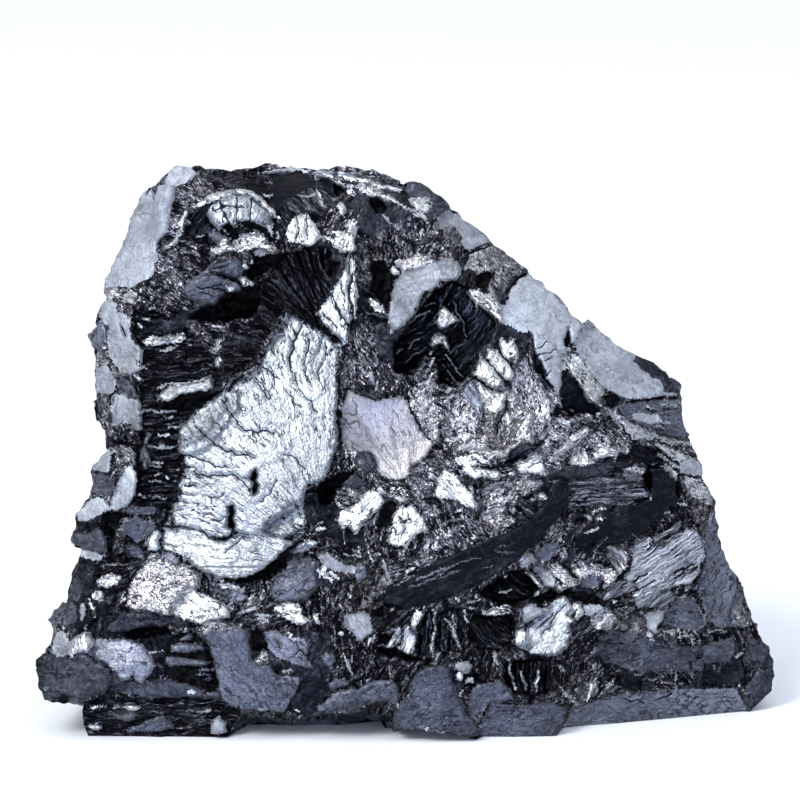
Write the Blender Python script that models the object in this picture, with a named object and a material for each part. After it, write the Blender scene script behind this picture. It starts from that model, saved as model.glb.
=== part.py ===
"""Shungite stone: one solid lump of broken mineral, about 100 mm wide, 77 mm high and 48 mm deep.

The front is laid out in a plane that leans back 12 degrees: s runs right, t runs up it and
depth runs away from the front, all in millimetres.
"""

import math
import random

import bmesh
import bpy
from mathutils import Vector
from mathutils.geometry import delaunay_2d_cdt

MM = 0.001
NODE = "stone"
LEAN = math.radians(12)
SEED = 8
RING = 0.32            # how far a facet's own edge stands in from its outline
NEAREST = 0.38         # least distance between two points of the front
GRAIN = 2.1            # spacing of the coarse grains between the facets
ROUGH = 0.55           # how far a grain stands out or in
SMALLEST = 3.2         # facets smaller than this, in square millimetres, are left to the surface
BACK_SPACING = 2.9     # spacing of the points on the back
BACK_CHUNK = 11.0      # spacing of the blocky break faces on the back
WAIST = (0.0, 36.0)    # the sides draw in towards this point

# Broad planes that block out the stone: depth = at + s * across + t * up, deepest one wins.
FRONT_PLANES = (
    (-2.3, 0.00, 0.075),       # main face
    (-4.6, 0.40, 0.03),        # right flank, turned away to the right
    (-44.0, 0.765, 0.644),     # slope that falls from the top to the right
    (-46.8, -0.95, 0.246),     # left edge, turned away to the left
    (-76.0, 0.00, 1.12),       # brow along the top
)
# The back, shallowest one wins.
BACK_PLANES = (
    (47.0, 0.06, -0.05),       # broad back face
    (73.0, 0.05, -0.76),       # upper back, sloping to a thin top
    (79.0, 0.95, -0.10),       # back left corner
    (85.0, -1.15, -0.22),      # back right corner
    (34.5, 0.10, 0.95),        # undercut above the base
    (66.0, 0.62, -0.30),       # left shoulder of the back
)
# Large shell-like breaks in the back: name, centre, radius, how deep they are cut.
BACK_BREAKS = (
    ("high_shell", (-14.0, 56.0), 15.0, 3.2),
    ("wide_shell", (14.0, 40.0), 17.0, 3.6),
    ("low_left_shell", (-27.0, 25.0), 13.0, 3.0),
    ("right_scoop", (33.0, 24.0), 10.0, 2.6),
    ("low_scoop", (5.0, 18.0), 10.0, 2.4),
    ("top_chip", (-24.0, 69.0), 6.0, 1.6),
    ("side_chip", (-36.0, 45.0), 7.0, 2.0),
    ("centre_chip", (-4.0, 37.0), 6.0, 1.6),
)
# Outline of the back, roughly; the sides run from the front outline to this one.
BACK_OUTLINE = [
    (-31, 8), (-37, 16), (-35, 25), (-38, 34), (-36, 46), (-38, 56), (-33, 67), (-27, 73),
    (-16, 74), (-6, 72.5), (3, 69), (10, 62), (19, 56), (27, 49), (33, 43), (36, 34),
    (39, 24), (42, 15), (38, 8), (22, 5), (4, 6), (-14, 5),
]
# Steps from front to back: share of the depth, share of the way to the back outline, how far the
# blocks draw in, in millimetres, and how many points of the front outline one block takes.
SIDE_STEPS = (
    (0.07, 0.02, 0.4, 1),
    (0.18, 0.07, 0.9, 2),
    (0.31, 0.14, 1.3, 2),
    (0.45, 0.24, 1.5, 3),
    (0.60, 0.38, 1.6, 3),
    (0.75, 0.56, 1.5, 3),
    (0.89, 0.78, 1.2, 3),
)
ARCH = (-24.5, -1.6, 6.0)      # span and height of the hollow under the front edge
ARCH_DEPTH = 11.0              # it closes this far in
# Outline of the front, clockwise from the left foot. Where the stone stands it runs below the floor.
OUTLINE = [
    (-42.6, -0.45), (-43.25, 1.8), (-43.6, 3.6), (-43.3, 4.6), (-46.8, 4.7), (-48.4, 5.2),
    (-49.1, 6.2), (-49.6, 8), (-49.9, 9.6), (-49.5, 10.6), (-48.5, 11.6), (-47.8, 12.8), (-47.5, 14.9),
    (-48.2, 15.7), (-47.2, 17.3), (-46.2, 18), (-45.7, 18.2), (-45.3, 20.5), (-44.6, 22.8),
    (-43.8, 24.5), (-43.7, 25.3), (-45, 26), (-45.1, 26.7), (-44.6, 28), (-44.4, 30), (-43.2, 31.3),
    (-42.7, 32.6), (-42.3, 34), (-42.5, 35.6), (-42.4, 36.1), (-41, 37.7), (-40.3, 38.6),
    (-40.7, 40.2), (-40.5, 41.2), (-41.8, 42.6), (-41.9, 44.6), (-42.1, 45.2), (-41.8, 45.6),
    (-41.9, 48), (-42, 50), (-42, 52.1), (-43, 53.6), (-42.8, 54.4), (-41.8, 55.4), (-41.6, 57.4),
    (-40.4, 59), (-41, 60.5), (-40.6, 61.7), (-40, 62.4), (-39.9, 63.2), (-38.2, 66.4), (-37.5, 69),
    (-36.9, 70.4), (-36, 72.5), (-34.6, 73.9), (-33.8, 74.2), (-32.2, 76.1), (-31, 76.8), (-28, 76.8),
    (-24, 76.2), (-20.4, 76.2), (-18, 76.7), (-16, 76.9), (-14, 76.6), (-12.2, 76.3), (-9.6, 76.8),
    (-6, 76.5), (-3.6, 75.8), (-2, 75.3), (-0.4, 74.3), (0.4, 74.6), (2, 74.4), (4.2, 73), (5.8, 71.8),
    (6, 71.1), (10, 67.9), (13, 65.2), (16, 63), (16.4, 62.2), (18.2, 60.9), (21.6, 57.8), (22, 57),
    (23.8, 55.7), (24.5, 56), (25.3, 55.6), (25.9, 54.6), (29.6, 52), (33.6, 50.2), (34.2, 49.7),
    (35.2, 49.1), (35.6, 48.3), (37, 47.8), (37.3, 47.4), (37.1, 45), (37.3, 43), (38, 41),
    (38.3, 39.6), (39.2, 37.6), (39.9, 36.4), (39.9, 35), (40.3, 34.2), (41.5, 32.4), (41.8, 30),
    (42.2, 27), (43, 24.2), (44, 22.2), (45.2, 20.8), (45.6, 19.4), (46.4, 16.6), (46.9, 15.2),
    (47.6, 13.8), (48.8, 12.2), (49.6, 10.4), (49.9, 9.2), (49.6, 8), (49.6, 6.4), (49.3, 5.6),
    (48, 4.6), (46.6, 3.1), (45.6, 2.4), (44.2, 2.2), (41, 2.1), (37, 1.9), (33, 1.3), (28, 0.9),
    (22, 0.6), (20, 0.2), (17, -0.4), (13.6, -0.65), (10, -0.8), (9.4, -0.4), (6, 0.8), (2, 1.1),
    (-0.6, 1), (-1.7, 1.3), (-2.1, 2.4), (-2.5, 4.8), (-3.4, 5.2), (-6.4, 4.2), (-8.3, 3.4),
    (-11.5, 3.7), (-13.4, 3), (-14.8, 3.2), (-16, 3.5), (-19, 3.7), (-21.6, 3.8), (-22.4, 3.2),
    (-23.4, 1.6), (-24.4, -0.8), (-26, -1.1), (-30, -1.1), (-34, -1), (-38, -0.8),
]
# Break faces, later ones lying over earlier ones: name, (sink, turn right, lean back), hollow, outline.
FACETS = (
    ("left_shoulder", (0.4, -44, 10), 0.4, [
        (-31.2, 73.9), (-32, 70), (-32.4, 68), (-33.6, 66.1), (-33.8, 63), (-35, 61.3), (-37, 60.3),
        (-39, 60.4), (-41.6, 60), (-41.6, 62), (-38.6, 66.8), (-37.4, 71), (-35.2, 74.4), (-33, 74),
    ]),
    ("left_crown", (0, -28, 38), 0, [
        (-32.6, 76.4), (-34.2, 74.4), (-31.2, 73.8), (-29.8, 74.6), (-28.6, 75.8), (-29.4, 77),
        (-31.2, 77),
    ]),
    ("left_neck", (0.6, -40, 10), 0, [
        (-41, 60.2), (-39.8, 60.4), (-36.2, 59.8), (-36.4, 58), (-38, 58.2), (-40.6, 58.8),
    ]),
    ("left_cheek", (0, -38, 6), 0.5, [
        (-41.8, 57.4), (-40.6, 59.1), (-38.2, 57.8), (-37.6, 56.5), (-37.2, 54), (-36.6, 52.6),
        (-35.8, 52), (-35.8, 49.8), (-37.4, 48.6), (-38.8, 49.2), (-40, 51.4), (-40.2, 54.2),
        (-40.8, 56), (-42, 55.6),
    ]),
    ("left_knob", (-0.6, -42, 0), -0.4, [
        (-43.3, 53.6), (-43, 54.7), (-41.8, 55.7), (-40.8, 56), (-40.4, 54), (-41, 52.4),
        (-42.2, 51.9),
    ]),
    ("left_plate", (0.3, -52, 5), 0, [
        (-42.2, 49.2), (-40, 49.2), (-39.2, 47.4), (-39.8, 46), (-42.2, 45.8),
    ]),
    ("left_slab", (-0.5, -34, -4), 0.3, [
        (-38.2, 48.2), (-37, 47.2), (-36.2, 44.8), (-35.4, 43.8), (-35.8, 42.2), (-36.4, 41.2),
        (-38, 42.4), (-39.6, 41.6), (-40.2, 41.2), (-39.8, 43.6), (-39.2, 46),
    ]),
    ("left_low_plate", (-0.6, -36, 8), 0.2, [
        (-38, 36.3), (-37, 36.3), (-36.3, 34.6), (-36.2, 33), (-37.4, 31.2), (-38.6, 30.7),
        (-39.9, 30.6), (-39.4, 32.6), (-38.6, 34.4),
    ]),
    ("left_low_dark", (0.4, -42, -6), 0.2, [
        (-42.8, 36.2), (-40.4, 35.6), (-39.4, 34), (-39.8, 32.4), (-41.4, 31.9), (-43, 32.2),
        (-42.6, 34),
    ]),
    ("left_ear", (-0.4, -36, 16), 0.2, [
        (-44.9, 30.1), (-42.4, 32), (-40.4, 31.5), (-39.8, 30.8), (-40.9, 29.6), (-42.6, 29.2),
        (-44.8, 29.4),
    ]),
    ("left_fin", (-1.2, -30, -14), 0.2, [
        (-45.5, 26.6), (-45.2, 27.7), (-42, 27.4), (-40.2, 26.4), (-40.6, 24.9), (-42.4, 25.4),
        (-45.2, 25.8),
    ]),
    ("slate_steps", (-0.3, -4, -10), 0.3, [
        (-38.2, 30.8), (-36, 31), (-33.8, 31), (-33.4, 29.6), (-34, 28), (-35.2, 27.2), (-37.4, 27.6),
        (-38.2, 28.2),
    ]),
    ("slate_step_low", (0.5, 6, -4), 0.3, [
        (-37.6, 27.2), (-35.4, 27), (-35, 25.4), (-35.8, 24.2), (-37.6, 24.8),
    ]),
    ("gully", (2.4, 4, 2), 0.6, [
        (-35.6, 48), (-35.8, 41), (-36, 36), (-36.2, 33), (-37.4, 31.4), (-33.6, 31.2), (-31.8, 30.4),
        (-30.8, 33), (-30.4, 36), (-30.2, 41.2), (-28, 42.6), (-26.4, 44.8), (-24.6, 46), (-25.4, 50),
        (-28, 53.5), (-30, 55.6), (-34, 57.4), (-36.6, 57.4), (-37, 54), (-35.8, 52),
    ]),
    ("gully_rib_low", (1, -14, 4), 0, [
        (-35.8, 38.8), (-35, 40.8), (-34.6, 40.8), (-35, 38.6), (-34.4, 36.4), (-35.4, 36),
        (-36, 37.6),
    ]),
    ("shelf_high", (1.2, -6, 34), 0, [
        (-35.8, 52.8), (-34.4, 54), (-32, 53.8), (-29.9, 54.1), (-30, 53.4), (-32, 52.9),
        (-34.2, 52.6),
    ]),
    ("shelf_low", (0.6, -8, 34), 0, [
        (-34, 46.8), (-32.4, 47.6), (-30.4, 47.6), (-28.6, 47.8), (-27, 48.6), (-26.1, 48.3),
        (-26.4, 46.8), (-29.2, 46.4), (-31, 45.8), (-32.8, 45.2), (-33.4, 45.8),
    ]),
    ("shelf_low_cave", (3.6, 8, -24), 0, [
        (-34.4, 45), (-32.6, 45), (-30.8, 45.6), (-26.4, 46.6), (-26, 45), (-28, 43.9), (-32, 44.1),
        (-34.2, 44.2),
    ]),
    ("cave_left", (1.6, 4, -18), 0, [
        (-34.6, 56.2), (-33, 56.4), (-30.4, 56), (-30, 54.3), (-32, 54.1), (-34.2, 54.3),
    ]),
    ("fan", (-0.6, -9, 13), -1, [
        (-16.3, 57.3), (-14.4, 55.9), (-13.6, 55.4), (-11.2, 54), (-8.9, 53), (-8.8, 51.2), (-9.4, 48),
        (-9.5, 44), (-9.3, 40.2), (-10.2, 37), (-11.2, 34.6), (-13.3, 34), (-13.9, 32), (-13.6, 28.8),
        (-15.4, 27.6), (-17, 27.6), (-20, 27), (-22.8, 27.8), (-24, 27), (-26.4, 27), (-28.4, 28),
        (-31.2, 28.6), (-31.6, 31.2), (-30.6, 32.2), (-30.6, 34), (-29.7, 35.8), (-30.1, 38.2),
        (-30.3, 41), (-28.6, 41.6), (-27.4, 43), (-26.4, 44.6), (-24.2, 45.4), (-23, 47.4),
        (-21.4, 48.2), (-20, 49.8), (-18.6, 52.3), (-17.9, 54), (-16.7, 54.5), (-17.2, 56),
    ]),
    ("fan_skirt", (-1, -10, 16), -0.5, [
        (-34.9, 26.4), (-34.6, 27.4), (-33, 28.2), (-31, 28.4), (-28.4, 28), (-26.4, 27), (-24, 26.8),
        (-22.8, 27.6), (-20, 27), (-17, 27.4), (-16, 26), (-18.4, 23.4), (-20, 22.2), (-22.2, 21.3),
        (-25.2, 21.2), (-27.4, 22.6), (-28.8, 23.9), (-30.4, 24.6), (-32.8, 25), (-34.4, 25.4),
    ]),
    ("fan_underline", (2.6, 0, -16), 0, [
        (-25.2, 21.1), (-22.2, 21.1), (-20.2, 22), (-18.4, 23.2), (-16.2, 25.4), (-14, 26),
        (-15.4, 23.8), (-17.4, 21.4), (-19.4, 20), (-21, 20.6), (-23, 20.8),
    ]),
    ("fan_foot", (-0.8, -10, 18), -0.4, [
        (-35.6, 24), (-34, 25), (-31.4, 24.6), (-30.2, 24.2), (-28.4, 23.4), (-27.4, 21.4), (-26, 20),
        (-28.2, 19.4), (-25, 18.4), (-24, 17.2), (-24.4, 16.4), (-27, 15.7), (-28.6, 15.6),
        (-30.2, 16.2), (-33, 17), (-36, 17.2), (-37.8, 17.4), (-37.6, 19.6), (-36.6, 21.6),
    ]),
    ("fan_foot_bright", (-1.2, -10, 22), -0.2, [
        (-32.4, 18.6), (-29.4, 20), (-28.2, 19.6), (-26, 18.6), (-24.2, 17.6), (-24.6, 16.4),
        (-27.2, 15.7), (-29, 15.8), (-31, 16.8),
    ]),
    ("under_plate", (0.2, 0, 10), 0.2, [
        (-26.6, 20), (-23, 19.9), (-21.2, 19), (-21.8, 18.3), (-23.8, 18.2), (-25, 19.2),
    ]),
    ("dome_core", (1.8, 10, -6), 0.8, [
        (-29.8, 69.6), (-28.2, 71), (-26, 72), (-26.4, 70.2), (-25, 68.6), (-23.8, 67.2),
        (-24.6, 66.2), (-27.8, 66.6), (-29.8, 68),
    ]),
    ("dome", (-0.6, -8, 17), -1, [
        (-29.6, 70), (-28.2, 71.5), (-26.2, 72.7), (-24.2, 73.4), (-21.8, 73.6), (-20.2, 73),
        (-19, 71.6), (-17.8, 70.2), (-18.2, 67), (-19.4, 66.8), (-19.4, 69), (-21, 69.6), (-23, 69.4),
        (-24.4, 68.6), (-25.6, 70), (-25.8, 71.6), (-27.4, 71.2),
    ]),
    ("dome_lip", (-0.2, -6, 16), 0, [
        (-22, 66.4), (-22.4, 67.8), (-20.8, 68.5), (-19.6, 67.8), (-19.2, 66.4), (-20.4, 66),
    ]),
    ("dome_teeth", (0, -10, 28), 0, [
        (-26.2, 65.8), (-25, 67.4), (-23.6, 67), (-22, 66.2), (-23.2, 65.5), (-24.6, 65.2),
    ]),
    ("white_patch", (-0.6, -10, 18), -0.2, [
        (-17, 66.8), (-17.4, 68.4), (-16.4, 70.4), (-15.6, 71.4), (-14.8, 70.4), (-14, 69),
        (-13.9, 67), (-14.8, 66.4), (-16, 66.3),
    ]),
    ("v_patch", (-0.5, -8, 20), 0, [
        (-10.2, 67.6), (-9, 68.4), (-8, 68.2), (-7.9, 69.8), (-6.6, 69.4), (-6.8, 68), (-7.8, 65.6),
        (-9.4, 66.6),
    ]),
    ("slab_shelf", (-1.6, -6, -14), -0.5, [
        (-29.9, 59.6), (-28.4, 61.6), (-26.2, 63), (-24, 64), (-22.4, 63.8), (-21.8, 62.8),
        (-22.6, 61.8), (-21.8, 60.6), (-22.6, 59.8), (-24.8, 59.9), (-26.4, 58.2), (-27.6, 58.6),
        (-28.6, 58.8),
    ]),
    ("slab_cave", (4.4, 6, -26), 0, [
        (-29.4, 56.2), (-27.6, 57.4), (-25.6, 58.2), (-23.8, 59.6), (-21.6, 60.3), (-19.8, 61),
        (-20, 58), (-20.6, 56.4), (-24, 55.9), (-27, 55.8),
    ]),
    ("cave_right", (3.4, 8, -20), 0, [
        (-22, 62.4), (-20.4, 64.2), (-17.8, 65), (-16.2, 64.8), (-17, 63.6), (-19, 62.6), (-21, 61.4),
    ]),
    ("dark_fan", (1.8, 16, 4), 0.8, [
        (-16.2, 64.8), (-13.6, 65.8), (-10.6, 66), (-10.2, 64), (-11, 62), (-10.4, 60.2), (-12.2, 58),
        (-11.6, 55.8), (-9, 53.2), (-11, 54.2), (-13.6, 55.6), (-16.2, 57.6), (-17.6, 56),
        (-18.8, 53.4), (-20.6, 50.4), (-23, 48.6), (-24.8, 48.6), (-25, 52), (-23.6, 55.6),
        (-20.4, 56), (-19.8, 60), (-18, 62.4),
    ]),
    ("tall_blade", (-0.8, -13, 12), -0.3, [
        (-8, 64.8), (-7, 64), (-7.4, 60), (-7.3, 57), (-7.8, 55), (-8.6, 53.6), (-9.6, 53.4),
        (-10.8, 54.6), (-11.8, 56.2), (-12, 58.2), (-10.4, 60), (-10, 61.8), (-9.2, 63.6),
    ]),
    ("top_strands", (-0.3, 6, 26), 0, [
        (-12, 76.8), (-9, 77.4), (-5, 76.8), (-1.5, 75.2), (-2, 72.8), (-4, 73.4), (-6, 74.2),
        (-9.5, 75.2),
    ]),
    ("top_back", (3, 0, 40), 0, [
        (-21.6, 76.6), (-17.6, 77.2), (-15.4, 77.2), (-14, 76), (-17.2, 75.6), (-20, 75.7),
    ]),
    ("top_brow", (-0.4, 0, 10), 0, [
        (-26, 76.6), (-20.6, 76.2), (-18, 74.8), (-18.6, 73.8), (-22, 74), (-26, 73.6), (-26.8, 75),
    ]),
    ("tooth", (-0.5, -4, 22), 0, [
        (0, 72.2), (1.6, 72.4), (3.2, 72.4), (3, 71.2), (2.4, 70.2), (1, 71.2),
    ]),
    ("crest", (-0.6, 14, 20), 0.2, [
        (-0.6, 74.2), (0.4, 75), (2, 74.9), (4.4, 73.4), (6.2, 71.9), (5.6, 71.2), (3.4, 70.2),
        (3.2, 72.4), (1, 72.5), (0, 72.8),
    ]),
    ("wing_hollow", (5, 10, 4), 1.6, [
        (6.4, 61.4), (8.2, 60.4), (9.6, 58.4), (11, 57), (12, 55.6), (11.4, 53.2), (9.6, 52.2),
        (9.4, 50.6), (10.6, 49.4), (8.6, 48.6), (6, 47), (4.4, 47.6), (3.8, 51), (2.6, 51.4),
        (0.4, 48.6), (-1.8, 49), (-1.8, 52.4), (-0.4, 54.6), (1.2, 56.8), (3.2, 59.6),
    ]),
    ("wing", (-0.8, -8, 11), 0.8, [
        (-1.2, 63.2), (0.2, 64), (2.4, 64.5), (4, 64), (5.6, 64.6), (6.9, 64), (6.9, 62.2), (6, 61.6),
        (4.4, 61.2), (2.4, 59.6), (1, 57.6), (-0.4, 56), (-1.4, 54.6), (-2.4, 54.2), (-2.4, 57),
        (-1.8, 60.6),
    ]),
    ("wing_rim", (-1.3, -8, 20), 0, [
        (-1.2, 63.2), (0.2, 64), (2.4, 64.6), (3.8, 64), (1.8, 63.2), (-0.6, 62), (-1.8, 60.6),
    ]),
    ("eye", (-1.4, -10, 17), 0, [
        (3.9, 55.8), (5.3, 58.1), (6, 57.2), (7, 56), (5.4, 54.8), (4.2, 55),
    ]),
    ("wing_side_cave", (2.8, 10, 0), 0, [
        (-4.6, 63.8), (-3.2, 64), (-2.2, 62.6), (-2.2, 60), (-2.8, 57.6), (-3.6, 58.6), (-4.8, 60),
    ]),
    ("wing_stem", (0.8, -6, 10), 0, [
        (3.8, 51.2), (3.6, 53.6), (5, 54), (5.8, 52.2), (5, 51.4),
    ]),
    ("slope_upper", (0.2, 28, 28), 0.2, [
        (4.2, 69.6), (6.4, 71.2), (10.3, 68.1), (11.9, 66.4), (9.8, 65.8), (8.4, 64.8), (6.6, 64.6),
        (5.6, 66), (4.4, 67.6),
    ]),
    ("slope_mid", (0.2, 28, 28), 0.2, [
        (12, 66.2), (16.4, 63.2), (16.8, 62.2), (14.8, 61.6), (13.6, 60.4), (12.8, 58.8), (11.2, 59),
        (10.6, 60.2), (12, 61.8), (11.6, 63), (10, 63), (8.6, 61.6), (7.6, 62.6), (7.4, 64),
        (9.4, 65.4),
    ]),
    ("slope_pit", (1.8, 10, 0), 0, [
        (9.2, 61.8), (10, 62.6), (11.6, 62.4), (11.4, 60.8), (10, 60.2), (9.3, 60.8),
    ]),
    ("slope_ledge", (-0.5, -2, 24), 0, [
        (7.9, 59.9), (9.6, 60.1), (11, 59.6), (12.4, 58.4), (12, 56.8), (11, 57.4), (9.4, 58.4),
    ]),
    ("slope_face", (-0.4, 31, 27), -0.4, [
        (14.4, 60.6), (15.6, 61.7), (16.8, 62.3), (18.6, 61.2), (22, 58.1), (22.4, 57), (24.2, 55.9),
        (22.4, 53.6), (22.4, 52.6), (20.8, 52.2), (20.4, 50), (20.6, 46.6), (19.8, 46.8), (18.4, 50),
        (17.6, 52), (16.6, 54), (14.6, 54.4), (13.2, 55.4), (12.7, 57.2), (13, 58.8),
    ]),
    ("slope_tail", (-0.4, 34, 29), -0.5, [
        (24.2, 55.5), (25.8, 54.8), (30, 52.3), (33.8, 50.6), (35.6, 49.2), (37.6, 47.9), (37.5, 46),
        (33, 45.6), (30, 45.4), (28.8, 45.8), (27.4, 46.6), (26, 47.2), (24.4, 49.4), (23, 51.6),
        (22.6, 53.2),
    ]),
    ("tail_tip", (0.4, 38, 20), 0.2, [
        (33.4, 50.7), (35.6, 49.2), (37.6, 47.9), (37.5, 46), (35, 46.2), (34.6, 47.6), (32.8, 48.6),
        (30.4, 50.4), (31, 51.8),
    ]),
    ("streak", (-0.3, 2, 18), 0, [
        (20.9, 51.8), (22, 52), (23.6, 50.4), (25.4, 48), (26, 45.6), (25, 44.8), (23.6, 47.2),
        (22.2, 49), (21.2, 49.6),
    ]),
    ("notch", (2.6, 22, -12), 0.4, [
        (21, 48.6), (21.9, 49.3), (23.4, 47), (24.6, 44.8), (26, 43.6), (25.4, 42.2), (23.2, 42),
        (21.6, 43.8), (20.7, 46),
    ]),
    ("notch_small", (1.4, 20, -10), 0, [
        (26.4, 45.8), (27.8, 46.3), (29.4, 45.2), (27.8, 44.2), (26.9, 44.6),
    ]),
    ("flank_upper", (0.6, 34, 2), 0.2, [
        (28.6, 44.2), (30.4, 45.2), (37.5, 45.4), (37.8, 43), (38.7, 40.2), (36.4, 40.4), (34, 41.2),
        (31.4, 42.2), (29, 43.2),
    ]),
    ("flank_bright", (-0.4, 20, 14), 0, [
        (28.7, 42.4), (30.4, 41.8), (33, 41), (34.2, 40.2), (38.6, 37.8), (38.6, 36.6), (36.4, 37.4),
        (34.2, 38), (32.8, 39.4), (30.6, 40.2), (29.4, 40.6),
    ]),
    ("flank_plate", (-0.4, 30, 6), 0.2, [
        (36.6, 36.2), (37.8, 37.4), (39.6, 37.6), (40.3, 36.2), (40.3, 34.9), (38, 35),
    ]),
    ("flank_low", (0, 34, 4), 0, [
        (37.4, 34.4), (40, 34.8), (42, 32.2), (42.2, 29.8), (40.2, 31), (38.6, 32.6),
    ]),
    ("shell", (0, -5, 9), 0.9, [
        (-8, 46.8), (-7, 46.4), (-6, 45.8), (-4.4, 45.2), (-3, 45.5), (-0.8, 46), (0.2, 44.6),
        (1.8, 41.8), (3.6, 39.4), (2.8, 38), (1.6, 36.9), (0.6, 36.5), (0.2, 35.2), (-0.8, 34.6),
        (-2.8, 34.9), (-4, 35.4), (-5, 37.4), (-6.6, 38.4), (-8, 38.4), (-8.9, 40.2), (-8.9, 44),
    ]),
    ("shell_knob", (-0.6, 6, 14), -0.6, [
        (-6.9, 37), (-6.2, 38.2), (-4.9, 38.2), (-4, 36.4), (-5.2, 35.6), (-6.4, 36.2),
    ]),
    ("shell_side", (0.8, 10, 6), 0, [
        (-8.6, 50.8), (-7.6, 51.4), (-6.8, 49.6), (-6.6, 47.6), (-8.8, 46.6), (-9.2, 48),
    ]),
    ("shell_wing", (0.3, 4, 8), 0, [
        (0.4, 46.9), (2, 47.6), (3.6, 48.4), (3.6, 44.8), (4.3, 42.4), (4.2, 40.4), (3.6, 39.9),
        (1.2, 43.2), (0.2, 45.2),
    ]),
    ("sugar_fan", (0.2, 2, 10), 0.5, [
        (5.2, 43.4), (6.4, 44.4), (8.2, 44.2), (7.4, 46.2), (9, 47.4), (11.4, 46.8), (13.8, 46.8),
        (16, 48), (18, 48), (19.4, 46), (19.8, 43.4), (18.2, 41.2), (16.8, 40), (14.4, 39), (13, 37.6),
        (12.2, 36.2), (9, 38.4), (6.6, 39.8), (5.2, 41.2),
    ]),
    ("block_low", (-0.7, -10, 19), 0, [
        (8.5, 49.9), (9.8, 50.8), (10.6, 50.2), (12.8, 47.8), (13.6, 46.6), (12.6, 46.4), (10.6, 48.2),
        (9.2, 48.8),
    ]),
    ("block_mid", (-0.6, -8, 20), 0, [
        (10, 52.4), (11.2, 52), (12.2, 51.6), (14, 49.2), (13.8, 48), (12.4, 49.4), (10.6, 51.2),
    ]),
    ("block_high", (-0.4, -8, 18), 0, [
        (12.4, 53.6), (13.4, 54), (14.4, 53.2), (15.4, 50.6), (14.2, 50.2), (12.6, 52),
    ]),
    ("block_foot", (-0.3, -8, 16), 0, [
        (9.6, 47), (10.6, 47.2), (13.2, 46), (12.6, 44.6), (10.8, 43.8), (10.2, 45.4),
    ]),
    ("lens_rim", (1, 0, -8), 0.4, [
        (12.4, 36.2), (14, 38.4), (16.6, 39.6), (18.2, 39.2), (17.6, 38), (15.4, 38.2), (13.8, 36.8),
    ]),
    ("lens", (-0.5, -8, 18), -0.2, [
        (13.6, 36.2), (15, 37.6), (16.4, 37.9), (17.4, 37.4), (18.6, 35.6), (18.4, 34.8), (16.6, 35.2),
        (15, 35.2),
    ]),
    ("tongue_high", (-0.7, -8, 20), 0, [
        (6.2, 37.4), (7.4, 38), (9.8, 38), (12.4, 35.4), (12.2, 34.8), (10.2, 35.4), (8.6, 35.2),
        (7.2, 36.2),
    ]),
    ("tongue_low", (-0.7, -8, 20), 0, [
        (3.8, 33.8), (4.9, 36), (6.2, 35.4), (7.2, 34.2), (8.8, 33), (9.4, 31.2), (8.4, 31.4),
        (6.4, 32), (4.6, 32), (3.5, 32.8),
    ]),
    ("chip_left", (-0.6, -9, 18), 0, [
        (-9.4, 29.6), (-8.8, 30.8), (-6.2, 31.8), (-5.6, 33), (-4.4, 33), (-3.2, 31.8), (-4, 30.4),
        (-5.8, 29), (-6.8, 27.4), (-7.8, 27.8),
    ]),
    ("chip_right", (-0.6, -9, 18), 0, [
        (-1.2, 30.8), (-0.8, 31.4), (0, 31.2), (1.6, 29.8), (2.5, 28.8), (2.4, 27.6), (1, 26.8),
        (0, 25.5), (-1.4, 26.1), (-2.9, 26.2), (-1.6, 27.6), (-2.6, 28), (-2, 29.4),
    ]),
    ("chip_gap", (1.8, 0, 0), 0, [
        (-3, 31.8), (-1.6, 31.8), (-1.6, 30), (-3, 28.2), (-4.4, 28), (-3.8, 30),
    ]),
    ("shell_cave", (3.6, 0, -20), 0, [
        (-11, 34.4), (-8.6, 35.6), (-6.8, 36), (-7.8, 34.4), (-9.6, 33), (-9.8, 31.6), (-11.8, 31.4),
        (-12.4, 33),
    ]),
    ("cave_mirror", (0.8, 10, -4), 0, [
        (-9, 33.9), (-7.2, 35.6), (-6, 34.6), (-4.8, 34.2), (-5, 33.4), (-8, 33.5),
    ]),
    ("bar", (-0.8, -4, 22), 0, [
        (19.2, 37.6), (24, 41.7), (24.7, 41), (23.8, 40.2), (20.2, 37.2),
    ]),
    ("comb", (-0.2, -4, 20), 0, [
        (22, 37.4), (24.4, 39.9), (26, 39.6), (28.6, 38.6), (28.4, 37.8), (25.8, 37.8), (25, 36.8),
        (23, 36.4),
    ]),
    ("cleft", (1.4, 16, -8), 0, [
        (29.8, 38.4), (31, 39.6), (32.8, 39.2), (34.4, 37.2), (33, 36.4), (30.4, 36.8),
    ]),
    ("blade_thin", (-0.9, 18, -14), 0, [
        (18.6, 34.8), (19.6, 35.8), (22.8, 36.6), (28.4, 36.9), (30.6, 36.6), (28, 35.6), (24.4, 34.6),
        (21, 34.4),
    ]),
    ("blade_long", (-1, 12, -12), -0.4, [
        (-3.2, 18.2), (-2.5, 20.2), (2, 22.6), (8, 25.4), (13, 27.2), (16, 28.8), (18.6, 31.5),
        (20.3, 34.4), (21.6, 34.3), (21.6, 31.5), (20, 29), (17.5, 26.5), (14.6, 24), (12, 22),
        (8, 19.5), (4, 18), (0, 17.2),
    ]),
    ("blade_short", (-1.2, 18, -14), -0.4, [
        (22.6, 26), (23.4, 27), (26.8, 29.4), (29.4, 30.8), (32.4, 32), (33.2, 33.4), (33, 35.8),
        (34.4, 36.2), (36.2, 34), (36.4, 31.6), (34.6, 30), (33, 28.6), (31.2, 26.8), (28.6, 26),
        (25.4, 25), (23.4, 24.8),
    ]),
    ("corner_pit", (2.6, 12, -10), 0, [
        (32.8, 35.8), (34.2, 36.3), (36.2, 34.4), (36.2, 32), (34.2, 31.8), (33, 33.4),
    ]),
    ("striped_slab", (-0.6, 6, 10), 0, [
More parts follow.
